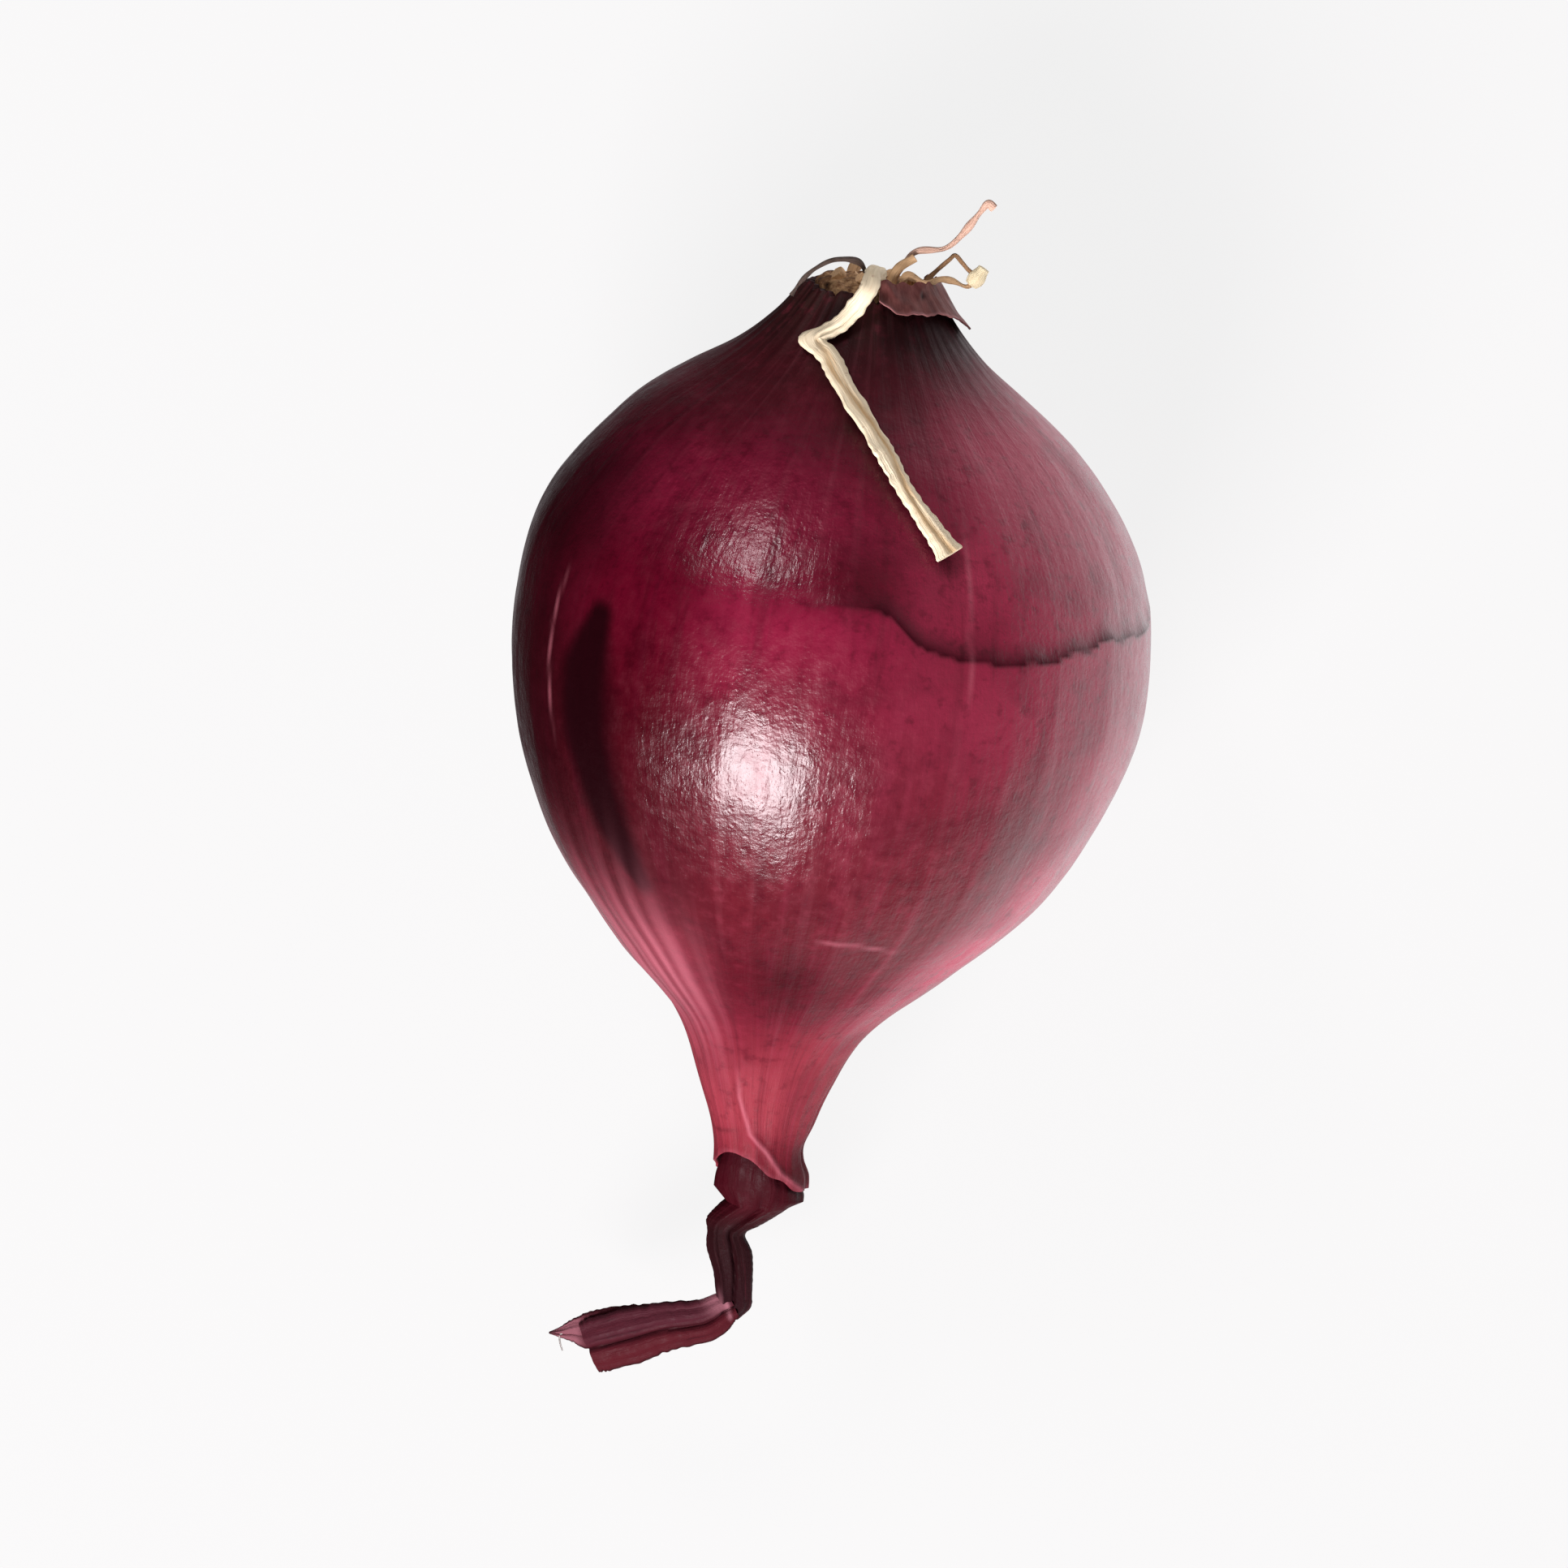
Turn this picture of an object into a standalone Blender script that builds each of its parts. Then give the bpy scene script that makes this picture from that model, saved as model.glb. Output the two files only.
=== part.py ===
"""A small red onion lying on its side.

Four pieces: the bulb in its dry skin, the corky basal plate with dried roots, a scrap of torn
outer skin round the plate, and the withered leaf that comes out of the neck.

Metres, +Z up. The root plate faces +Y and is tipped up a little, and the neck points along -Y.
The origin is the centre of the small flat spot that the bulb rests on.
"""
import math
import random

import bmesh
import bpy
from mathutils import Vector

MM = 0.001

# Driving sizes
BULB_DIAMETER = 20.4 * MM
BULB_LENGTH = 29.7 * MM
NECK_DROP = math.radians(9.0)
REST_CUT = 0.3 * MM
CLEARANCE = 0.2 * MM
SHEET_THICKNESS = 0.6 * MM

# Outline of the skin: share of the length from root plate to neck, share of the greatest radius
OUTLINE = (
    (0.000, 0.216), (0.036, 0.290), (0.074, 0.386), (0.162, 0.706), (0.257, 0.924), (0.383, 1.000),
    (0.532, 0.933), (0.649, 0.766), (0.743, 0.515), (0.811, 0.318), (0.887, 0.207), (0.955, 0.150),
    (1.000, 0.148),
)

# Swelling of the leaf bases inside, which makes the bulb slightly lobed, and the gathered neck
LOBES = ((2, 0.008, 0.5), (3, 0.007, 2.1), (5, 0.003, 4.0))
NECK_FLUTES = 11
NECK_FLUTE_DEPTH = 0.035 * MM
NECK_LEAN = -0.25 * MM

# Where the skin stands out on one side: share of the length and its reach, angle from the top and its
# spread in degrees, height
SWELLS = (
    (0.13, 0.05, -90.0, 50.0, 0.20 * MM), (0.76, 0.05, -90.0, 50.0, 0.18 * MM),
    (0.45, 0.10, 90.0, 40.0, 0.14 * MM),
)

# Mouth of the neck, whose rim is torn lower on top
NECK_WALL = 0.3 * MM
NECK_MOUTH_DEPTH = 2.1 * MM
RIM_TEAR_DEPTH = 1.2 * MM
RIM_TEAR_ANGLE = math.radians(-18.0)
RIM_TEAR_SPREAD = math.radians(54.0)
RIM_TEAR_START = 0.86 * BULB_LENGTH

# The root end is set back, and slants: its lower edge lies further back than its upper one
ROOT_SET_BACK = 0.28 * MM
ROOT_SLANT = 0.08
ROOT_END = 0.12 * BULB_LENGTH

# Dish at the root end, and the basal plate that fills it
DISH_WALL = 0.25 * MM
DISH_DEPTH = 0.6 * MM
PLATE_PROUD = 0.2 * MM

SIDES = 72
RINGS = 36
ROOT_SIDES = 7
LONG_ROOT_SIDES = 8
PLATE_SIDES = 28
LEAF_SIDES = 16

# Least cosine that a bend is widened by, so that a sharp kink doesn't spread
SHARPEST_MITRE = 0.77

# Directions in the bulb: from plate to neck, to the side, and up from its axis
ALONG = Vector((0.0, -math.cos(NECK_DROP), -math.sin(NECK_DROP)))
SIDEWAYS = Vector((1.0, 0.0, 0.0))
UPWARD = Vector((0.0, -math.sin(NECK_DROP), math.cos(NECK_DROP)))

SKIN_RED = (0.16, 0.012, 0.030, 1.0)
ROOT_CREAM = (0.62, 0.45, 0.22, 1.0)
SCRAP_MAUVE = (0.17, 0.045, 0.050, 1.0)
LEAF_PURPLE = (0.07, 0.010, 0.018, 1.0)


def smooth_step(x):
    """Eased rise from 0 to 1."""
    x = min(max(x, 0.0), 1.0)
    return x * x * (3.0 - 2.0 * x)


def curve_slopes(points):
    """Slope of a smooth curve at each of its points, from the stretches on either side."""
    steps = [b[0] - a[0] for a, b in zip(points, points[1:])]
    rises = [(b[1] - a[1]) / (b[0] - a[0]) for a, b in zip(points, points[1:])]
    inner = [
        (rises[i - 1] * steps[i] + rises[i] * steps[i - 1]) / (steps[i - 1] + steps[i])
        for i in range(1, len(rises))
    ]
    return [rises[0]] + inner + [rises[-1]]


def curve_value(points, x):
    """Height at x of the smooth curve through the points, straight beyond its ends."""
    slopes = curve_slopes(points)
    if x <= points[0][0]:
        return points[0][1] + slopes[0] * (x - points[0][0])
    if x >= points[-1][0]:
        return points[-1][1] + slopes[-1] * (x - points[-1][0])
    i = max(k for k in range(len(points) - 1) if points[k][0] <= x)
    step = points[i + 1][0] - points[i][0]
    s = (x - points[i][0]) / step
    low = (1 + 2 * s) * (1 - s) ** 2 * points[i][1] + s * (1 - s) ** 2 * step * slopes[i]
    high = s * s * (3 - 2 * s) * points[i + 1][1] + s * s * (s - 1) * step * slopes[i + 1]
    return low + high


def turned(angle, middle):
    """Angle from a middle one to another, from minus half a turn to half a turn."""
    return (angle - middle + math.pi) % (2 * math.pi) - math.pi


def swelling(share, angle):
    total = 0.0
    for middle, reach, side, spread, height in SWELLS:
        away = math.degrees(turned(angle, math.radians(side)))
        total += height * math.exp(-(((share - middle) / reach) ** 2) - (away / spread) ** 2)
    return total


def skin_radius(along, angle):
    """Distance from the axis to the skin. The angle is 0 on top and turns towards +X."""
    share = along / BULB_LENGTH
    radius = BULB_DIAMETER / 2 * curve_value(OUTLINE, share)
    fullness = math.sin(math.pi * min(max(share, 0.0), 1.0))
    lobed = 1.0 + fullness * sum(depth * math.cos(count * angle + start) for count, depth, start in LOBES)
    gathered = smooth_step((share - 0.66) / 0.12) * NECK_FLUTE_DEPTH
    return radius * lobed + gathered * math.cos(NECK_FLUTES * angle) + swelling(share, angle)


def lean(along):
    """How far the neck bows to the side. Its end comes back to the axis."""
    share = along / BULB_LENGTH
    return NECK_LEAN * smooth_step((share - 0.55) / 0.35) * (1.0 - smooth_step((share - 0.88) / 0.12))


def root_slant(along, upward):
    """How far the root end is pushed back at a height above the axis."""
    return smooth_step(1.0 - along / ROOT_END) * (ROOT_SET_BACK - ROOT_SLANT * upward)


def belly_point():
    """Length and radius at the lowest point of the outline, when the neck points down."""
    samples = [BULB_LENGTH * (0.3 + 0.3 * i / 200) for i in range(201)]
    drops = [(s * math.sin(NECK_DROP) + skin_radius(s, math.pi) * math.cos(NECK_DROP), s) for s in samples]
    along = max(drops)[1]
    return along, skin_radius(along, math.pi)


DISH_RADIUS = skin_radius(0.0, 0.0) - DISH_WALL
PLATE_RADIUS = DISH_RADIUS - CLEARANCE
MOUTH_RADIUS = skin_radius(BULB_LENGTH, 0.0) - NECK_WALL
BELLY_ALONG, BELLY_RADIUS = belly_point()
PLATE_CENTRE = -ALONG * BELLY_ALONG + UPWARD * BELLY_RADIUS - Vector((0.0, 0.0, REST_CUT))


def place(along, sideways, upward):
    """World position of a point given in the bulb's own directions."""
    pushed = along + root_slant(along, upward)
    return PLATE_CENTRE + ALONG * pushed + SIDEWAYS * (sideways + lean(along)) + UPWARD * upward


def off_axis(along, angle, radius):
    """World position at a length along the axis, an angle from the top and a distance from it."""
    return place(along, radius * math.sin(angle), radius * math.cos(angle))


def off_skin(along, angle, lift):
    """World position a little above the skin, square to its outline."""
    small = 0.05 * MM
    slope = (skin_radius(along + small, angle) - skin_radius(along - small, angle)) / (2 * small)
    rise = lift / math.hypot(1.0, slope)
    return off_axis(along - slope * rise, angle, skin_radius(along, angle) + rise)


def rim_tear(angle):
    """How far the neck's rim is torn back at an angle."""
    return RIM_TEAR_DEPTH * math.exp(-((turned(angle, RIM_TEAR_ANGLE) / RIM_TEAR_SPREAD) ** 2))


def torn_back(along, angle):
    """Length along the axis once the tear of the rim has pulled it back."""
    past_start = (along - RIM_TEAR_START) / (BULB_LENGTH - RIM_TEAR_START)
    return along - rim_tear(angle) * smooth_step(past_start)


def turns(sides):
    """Angles of the corners of a ring."""
    return [2 * math.pi * i / sides for i in range(sides)]


def loft(name, rings):
    """Closed mesh through rings of points, with a flat cap on each end."""
    mesh = bmesh.new()
    rows = [[mesh.verts.new(point) for point in ring] for ring in rings]
    for row, after in zip(rows, rows[1:]):
        for i in range(len(row)):
            k = (i + 1) % len(row)
            mesh.faces.new((row[i], row[k], after[k], after[i]))
    mesh.faces.new(rows[0])
    mesh.faces.new(rows[-1])
    bmesh.ops.recalc_face_normals(mesh, faces=mesh.faces)
    return finished(name, mesh)


def finished(name, mesh):
    """Object from a bmesh."""
    data = bpy.data.meshes.new(name)
    mesh.to_mesh(data)
    mesh.free()
    piece = bpy.data.objects.new(name, data)
    bpy.context.scene.collection.objects.link(piece)
    return piece


def dress(piece, colour, roughness, crease=40.0):
    """Material of a piece, and smooth shading up to its creases."""
    material = bpy.data.materials.new(piece.name)
    material.use_nodes = True
    shader = material.node_tree.nodes["Principled BSDF"]
    shader.inputs["Base Color"].default_value = colour
    shader.inputs["Roughness"].default_value = roughness
    shader.inputs["Metallic"].default_value = 0.0
    piece.data.materials.clear()
    piece.data.materials.append(material)
    piece.data.shade_smooth()
    piece.data.set_sharp_from_angle(angle=math.radians(crease))


def bulb_rings():
    """Rings from the floor of the root dish, over the skin, to the floor of the neck's mouth."""
    angles = turns(SIDES)
    rings = [
        [off_axis(DISH_DEPTH, a, DISH_RADIUS * 0.9) for a in angles],
        [off_axis(DISH_DEPTH * 0.8, a, DISH_RADIUS) for a in angles],
        [off_axis(0.0, a, DISH_RADIUS) for a in angles],
    ]
    for i in range(RINGS + 1):
        lengths = [torn_back(BULB_LENGTH * i / RINGS, a) for a in angles]
        rings.append([off_axis(length, a, skin_radius(length, a)) for length, a in zip(lengths, angles)])
    rings.append([off_axis(torn_back(BULB_LENGTH, a), a, MOUTH_RADIUS) for a in angles])
    rings.append([off_axis(BULB_LENGTH - NECK_MOUTH_DEPTH, a, MOUTH_RADIUS * 0.9) for a in angles])
    return rings


def cut_rest_spot(piece):
    """Take the belly off flat where the bulb rests, at the height of the origin."""
    mesh = bmesh.new()
    mesh.from_mesh(piece.data)
    geometry = mesh.verts[:] + mesh.edges[:] + mesh.faces[:]
    cut = bmesh.ops.bisect_plane(
        mesh, geom=geometry, dist=1e-7, plane_co=(0, 0, 0), plane_no=(0, 0, -1), clear_outer=True
    )
    edges = [part for part in cut["geom_cut"] if isinstance(part, bmesh.types.BMEdge)]
    bmesh.ops.holes_fill(mesh, edges=edges, sides=0)
    for vert in mesh.verts:
        if abs(vert.co.z) < 1e-6:
            vert.co.z = 0.0
    mesh.to_mesh(piece.data)
    mesh.free()


def make_bulb():
    bulb = loft("bulb", bulb_rings())
    cut_rest_spot(bulb)
    dress(bulb, SKIN_RED, 0.3)


def bar_rings(route, normals, half_widths, half_depths, sides):
    """Rings of a bar along a route, with a width, a depth and an upper side at each point."""
    rings = []
    for i, centre in enumerate(route):
        before = (centre - route[max(i, 1) - 1]).normalized()
        after = (route[min(i, len(route) - 2) + 1] - centre).normalized()
        ahead = (before + after).normalized()
        mitre = 1.0 / max(ahead.dot(after if i == 0 else before), SHARPEST_MITRE)
        across = normals[i].cross(ahead).normalized() * half_widths[i] * mitre
        rise = ahead.cross(across).normalized() * half_depths[i]
        rings.append([centre + across * math.sin(a) + rise * math.cos(a) for a in turns(sides)])
    return rings


# Rings of the plate: share of the dish's depth, or of how proud the plate is, and share of its radius
PLATE_INSIDE = ((0.60, 0.86), (0.45, 1.00))
PLATE_OUTSIDE = ((0.50, 0.98), (1.00, 0.84), (1.50, 0.45))
PLATE_UNEVEN = 0.03


def plate_disc():
    """Corky disc in the root dish, with a domed and slightly uneven face."""
    steps = [(DISH_DEPTH * depth, share) for depth, share in PLATE_INSIDE]
    steps += [(-PLATE_PROUD * height, share) for height, share in PLATE_OUTSIDE]
    rings = []
    for along, share in steps:
        radius = PLATE_RADIUS * share
        rings.append([
            off_axis(along, a, radius * (1.0 - PLATE_UNEVEN + PLATE_UNEVEN * math.sin(3 * a + 1.0)))
            for a in turns(PLATE_SIDES)
        ])
    return loft("basal_plate_and_roots", rings)


# The long pale root bends up out of the plate (along the axis, to the side, up), and then lies
# over the shoulder (along the axis, to the side)
LONG_ROOT_BEND = (
    (0.25, 0.10, 1.00), (-0.50, 0.10, 1.15), (-0.85, 0.08, 1.70), (-0.80, -0.05, 2.35),
    (-0.30, -0.40, 2.90),
)
LONG_ROOT_BEND_CENTRE = (0.0, 0.0, 1.95)
LONG_ROOT_ON_SKIN = (
    (0.50, -1.05), (1.35, -1.66), (1.92, -0.98), (2.70, -0.52), (3.67, 0.42), (4.33, 1.05),
    (5.15, 1.75), (6.02, 2.62), (6.58, 3.24),
)
LONG_ROOT_HALF_WIDTHS = (
    0.30, 0.30, 0.30, 0.31, 0.32, 0.32, 0.34, 0.37, 0.38, 0.36, 0.36, 0.34, 0.38, 0.45,
)
LONG_ROOT_HALF_DEPTH = 0.3 * MM

# Roots that stand off the plate: along the axis, to the side and up, thinner towards the tip
ROOTLETS = (
    ((0.00, 0.50, 0.35), (-1.00, 0.80, 0.60), (-1.48, 1.25, 0.70), (-1.72, 2.07, 0.75), (-2.30, 2.60, 0.80),
     (-3.36, 3.28, 0.85)),
    ((0.00, 1.10, 0.30), (-0.85, 1.62, 0.45), (-1.40, 2.15, 0.50), (-1.42, 2.62, 0.40), (-1.15, 3.05, 0.40),
     (-1.22, 3.38, 0.42)),
    ((0.00, -0.35, 0.75), (-0.90, -0.50, 1.00), (-1.05, -1.15, 1.40), (-0.72, -1.82, 1.60),
     (-0.25, -2.30, 1.60), (0.30, -2.60, 1.50)),
)
ROOTLET_RADII = (0.34 * MM, 0.26 * MM)

# Short broken roots over the rest of the plate
STUB_COUNT = 15
STUB_SEED = 11
STUB_LENGTHS = (0.1 * MM, 0.45 * MM)
STUB_RADII = (0.26 * MM, 0.36 * MM)
STUB_BEND = 0.25 * MM
STUB_SPREAD = 0.2 * MM


def long_root():
    route = [place(a * MM, s * MM, u * MM) for a, s, u in LONG_ROOT_BEND]
    bend_centre = place(*(size * MM for size in LONG_ROOT_BEND_CENTRE))
    normals = [point - bend_centre for point in route]
    for along, sideways in LONG_ROOT_ON_SKIN:
        angle = math.asin(sideways * MM / skin_radius(along * MM, 0.0))
        route.append(off_skin(along * MM, angle, LONG_ROOT_HALF_DEPTH + CLEARANCE))
        normals.append(route[-1] - off_skin(along * MM, angle, 0.0))
    widths = [half * MM for half in LONG_ROOT_HALF_WIDTHS]
    depths = [LONG_ROOT_HALF_DEPTH] * len(route)
    return loft("long_root", bar_rings(route, normals, widths, depths, LONG_ROOT_SIDES))


def carried_normals(route, start):
    """A direction square to the route at each point, carried along it without twisting."""
    normals = [start]
    for before, after in zip(route, route[1:]):
        ahead = (after - before).normalized()
        normals.append(normals[-1] - ahead * normals[-1].dot(ahead))
    return normals


def round_root(name, route, radii):
    normals = carried_normals(route, UPWARD + SIDEWAYS * 0.4)
    return loft(name, bar_rings(route, normals, radii, radii, ROOT_SIDES))


def rootlet(number, points):
    route = [place(a * MM, s * MM, u * MM) for a, s, u in points]
    thick, thin = ROOTLET_RADII
    radii = [thick + (thin - thick) * i / (len(route) - 1) for i in range(len(route))]
    return round_root(f"rootlet_{number}", route, radii)


def stub(number, angle, radius, draw):
    """Short broken root, leaning out from the middle of the plate."""
    length = draw.uniform(*STUB_LENGTHS)
    thick = draw.uniform(*STUB_RADII)
    bend = SIDEWAYS * draw.uniform(-STUB_BEND, STUB_BEND)
    foot = off_axis(DISH_DEPTH * 0.3, angle, radius)
    middle = off_axis(-PLATE_PROUD - length * 0.5, angle, radius + STUB_SPREAD * 0.3)
    tip = off_axis(-PLATE_PROUD - length, angle, radius + STUB_SPREAD) + bend
    return round_root(f"stub_{number}", [foot, middle, tip], [thick, thick * 0.9, thick * 0.6])


def make_plate_and_roots():
    """The plate with its roots grown out of it. The stubs are set out as seeds on a flower head."""
    draw = random.Random(STUB_SEED)
    golden_angle = math.pi * (3 - math.sqrt(5))
    roots = [long_root()] + [rootlet(i, points) for i, points in enumerate(ROOTLETS)]
    for i in range(STUB_COUNT):
        radius = PLATE_RADIUS * 0.78 * math.sqrt((i + 0.5) / STUB_COUNT)
        roots.append(stub(i, golden_angle * i, radius, draw))
    plate = plate_disc()
    unite(plate, roots)
    dress(plate, ROOT_CREAM, 0.75)


def unite(body, others):
    """One Boolean union of a body with the others, applied, and the others removed."""
    group = bpy.data.collections.new("to_join")
    bpy.context.scene.collection.children.link(group)
    for other in others:
        group.objects.link(other)
        bpy.context.scene.collection.objects.unlink(other)
    join = body.modifiers.new("join", "BOOLEAN")
    join.operation = "UNION"
    join.operand_type = "COLLECTION"
    join.collection = group
    join.solver = "EXACT"
    joined = bpy.data.meshes.new_from_object(body.evaluated_get(bpy.context.evaluated_depsgraph_get()))
    body.modifiers.clear()
    body.data = joined
    for other in others:
        bpy.data.objects.remove(other)
    bpy.data.collections.remove(group)


# Scrap of torn skin round one side of the plate
SCRAP_ANGLES = (math.radians(14.0), math.radians(128.0))
SCRAP_STEPS = 26
SCRAP_TOP = -0.5 * MM
# How far down the bulb its torn lip reaches: angle in degrees, length in mm
SCRAP_LIP = ((14, 0.36), (30, 0.52), (49, 0.47), (68, 0.63), (84, 1.03), (105, 0.95), (128, 0.50))
SCRAP_CURL = 0.15 * MM


def scrap_section(angle):
    """Closed section of the scrap at an angle: under side, lip, upper side."""
    depth = curve_value(SCRAP_LIP, math.degrees(angle)) * MM - SCRAP_TOP
    steps = (0.0, 0.5, 1.0)
    under = [(SCRAP_TOP + depth * s, CLEARANCE + SCRAP_CURL * s * s) for s in steps]
    upper = [(along, lift + SHEET_THICKNESS) for along, lift in reversed(under)]
    return [off_skin(along, angle, lift) for along, lift in under + upper]


def make_torn_skin():
    first, last = SCRAP_ANGLES
    sections = []
    for i in range(SCRAP_STEPS + 1):
        sections.append(scrap_section(first + (last - first) * i / SCRAP_STEPS))
    scrap = loft("torn_skin", sections)
    dress(scrap, SCRAP_MAUVE, 0.6)


# The leaf where it fills the neck's mouth and rim: past the neck's end, and radius
LEAF_IN_NECK = ((-1.75, 0.80), (-1.00, 0.92), (-0.10, 0.95), (0.18, 1.35), (0.45, 1.42))
# Then it narrows, twists and folds sideways: past the neck's end, to the side, up, half width and depth
LEAF_PAST_NECK = (
    (1.05, -0.42, 0.00, 0.92, 0.75), (1.70, -0.80, 0.00, 0.66, 0.55), (2.30, -0.70, -0.20, 0.68, 0.45),
    (3.10, -0.42, -0.50, 0.64, 0.42), (3.90, -0.30, -0.85, 0.64, 0.40), (4.68, -0.72, -1.05, 0.74, 0.38),
    (5.22, -1.75, -1.20, 0.82, 0.36), (5.76, -3.00, -1.45, 0.94, 0.34), (6.28, -4.15, -1.75, 1.00, 0.32),
    (6.52, -4.72, -1.90, 1.00, 0.30),
)
# How far one ply reaches past the other at the torn end, and where it is longest, as a share of the
# half width, which is -1 at the edge towards the bulb and 1 at the far edge
LEAF_TIP_LENGTH = 1.35 * MM
LEAF_TIP_PEAK = -0.15
LEAF_TIP_EDGE = 0.22


def leaf_neck_rings():
    """Round rings that follow the torn rim of the neck, from the mouth outwards."""
    first, rim = LEAF_IN_NECK[0][0], LEAF_IN_NECK[2][0]
    rings = []
    for past, radius in LEAF_IN_NECK:
        follow = smooth_step((past - first) / (rim - first))
        length = BULB_LENGTH + past * MM
        rings.append([off_axis(length - follow * rim_tear(a), a, radius * MM) for a in turns(LEAF_SIDES)])
    return rings


def tip_pull(share):
    """How far the torn end reaches out at a share of its half width: one ply ends in a point."""
    if share < LEAF_TIP_PEAK:
        return (1.0 + share) / (1.0 + LEAF_TIP_PEAK)
    if share < LEAF_TIP_EDGE:
        return 1.0 - 2.0 * (share - LEAF_TIP_PEAK)
    return 0.15 * share


def leaf_tip(ring, ahead):
    pulls = [tip_pull(math.sin(a)) * LEAF_TIP_LENGTH for a in turns(LEAF_SIDES)]
    return [point + ahead * pull for point, pull in zip(ring, pulls)]


def make_withered_leaf():
    route = [place(BULB_LENGTH + past * MM, s * MM, u * MM) for past, s, u, width, depth in LEAF_PAST_NECK]
    widths = [width * MM for past, s, u, width, depth in LEAF_PAST_NECK]
    depths = [depth * MM for past, s, u, width, depth in LEAF_PAST_NECK]
    rings = leaf_neck_rings() + bar_rings(route, [UPWARD] * len(route), widths, depths, LEAF_SIDES)
    rings[-1] = leaf_tip(rings[-1], (route[-1] - route[-2]).normalized())
    leaf = loft("withered_leaf", rings)
    dress(leaf, LEAF_PURPLE, 0.6)


def main():
    for thing in list(bpy.data.objects):
        bpy.data.objects.remove(thing)
    make_bulb()
    make_plate_and_roots()
    make_torn_skin()
    make_withered_leaf()


main()
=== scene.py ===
"""Looks of the small red onion: papery glossy skin, dried roots, torn skin and withered leaf.

Metres, +Z up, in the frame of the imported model. Shapes follow the outline of the solids that they
replace and keep near their routes, with finer relief.
"""

import math
import random

import bmesh
import bpy
import numpy as np
from mathutils import Matrix, Vector, noise


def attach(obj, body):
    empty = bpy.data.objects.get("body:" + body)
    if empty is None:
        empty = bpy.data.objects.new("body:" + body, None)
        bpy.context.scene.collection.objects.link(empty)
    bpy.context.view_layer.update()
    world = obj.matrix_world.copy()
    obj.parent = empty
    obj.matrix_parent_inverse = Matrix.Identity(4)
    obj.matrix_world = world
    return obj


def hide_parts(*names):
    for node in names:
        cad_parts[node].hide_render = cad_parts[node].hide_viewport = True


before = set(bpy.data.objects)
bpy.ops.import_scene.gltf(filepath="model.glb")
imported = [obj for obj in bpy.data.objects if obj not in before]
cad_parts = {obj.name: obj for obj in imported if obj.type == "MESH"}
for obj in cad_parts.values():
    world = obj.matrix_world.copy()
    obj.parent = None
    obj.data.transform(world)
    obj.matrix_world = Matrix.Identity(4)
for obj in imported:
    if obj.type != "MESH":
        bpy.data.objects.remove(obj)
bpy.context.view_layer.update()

MM = 0.001
TURN = 2 * math.pi

# The bulb's sizes and outline, as in the solid, but for the tear in the rim, which is wider here
# and turned further to the left
BULB_DIAMETER = 20.4 * MM
BULB_LENGTH = 29.7 * MM
NECK_DROP = math.radians(9.0)
REST_CUT = 0.3 * MM
OUTLINE = (
    (0.000, 0.216), (0.036, 0.290), (0.074, 0.386), (0.162, 0.706), (0.257, 0.924), (0.383, 1.000),
    (0.532, 0.933), (0.649, 0.766), (0.743, 0.515), (0.811, 0.318), (0.887, 0.207), (0.955, 0.150),
    (1.000, 0.148),
)
# Waves round the skin: count, depth as a share of the radius, and start
LOBES = ((2, 0.008, 0.5), (3, 0.007, 2.1), (5, 0.003, 4.0))
NECK_LEAN = -0.25 * MM
# Low swells: share of the length and reach, degrees from the top and spread, height
SWELLS = (
    (0.13, 0.05, -90.0, 50.0, 0.20 * MM), (0.76, 0.05, -90.0, 50.0, 0.18 * MM),
    (0.45, 0.10, 90.0, 40.0, 0.14 * MM),
)
RIM_TEAR_DEPTH = 1.2 * MM
RIM_TEAR_ANGLE = math.radians(-34.0)
RIM_TEAR_SPREAD = math.radians(62.0)
RIM_TEAR_START = 0.86 * BULB_LENGTH
ROOT_SET_BACK = 0.28 * MM
ROOT_SLANT = 0.08
ROOT_END = 0.12 * BULB_LENGTH
DISH_WALL = 0.25 * MM
DISH_DEPTH = 0.6 * MM
PLATE_PROUD = 0.2 * MM

ALONG = Vector((0.0, -math.cos(NECK_DROP), -math.sin(NECK_DROP)))
SIDEWAYS = Vector((1.0, 0.0, 0.0))
UPWARD = Vector((0.0, -math.sin(NECK_DROP), math.cos(NECK_DROP)))


# Curves and the bulb's outline, for single numbers and for arrays

def smooth_step(x):
    """Eased rise from 0 to 1."""
    x = np.clip(x, 0.0, 1.0)
    return x * x * (3.0 - 2.0 * x)


def up_from(x, start, over):
    """0 up to a start, then an eased rise to 1."""
    return smooth_step((x - start) / over)


def down_to(x, end, over):
    """1, then an eased fall to 0 at an end."""
    return smooth_step((end - x) / over)


def window(x, start, rising, end, falling):
    """Eased rise after a start, and eased fall before an end."""
    return up_from(x, start, rising) * down_to(x, end, falling)


def hump(x, middle, reach):
    """Soft hump that is 1 at its middle."""
    return np.exp(-(((x - middle) / reach) ** 2))


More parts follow.
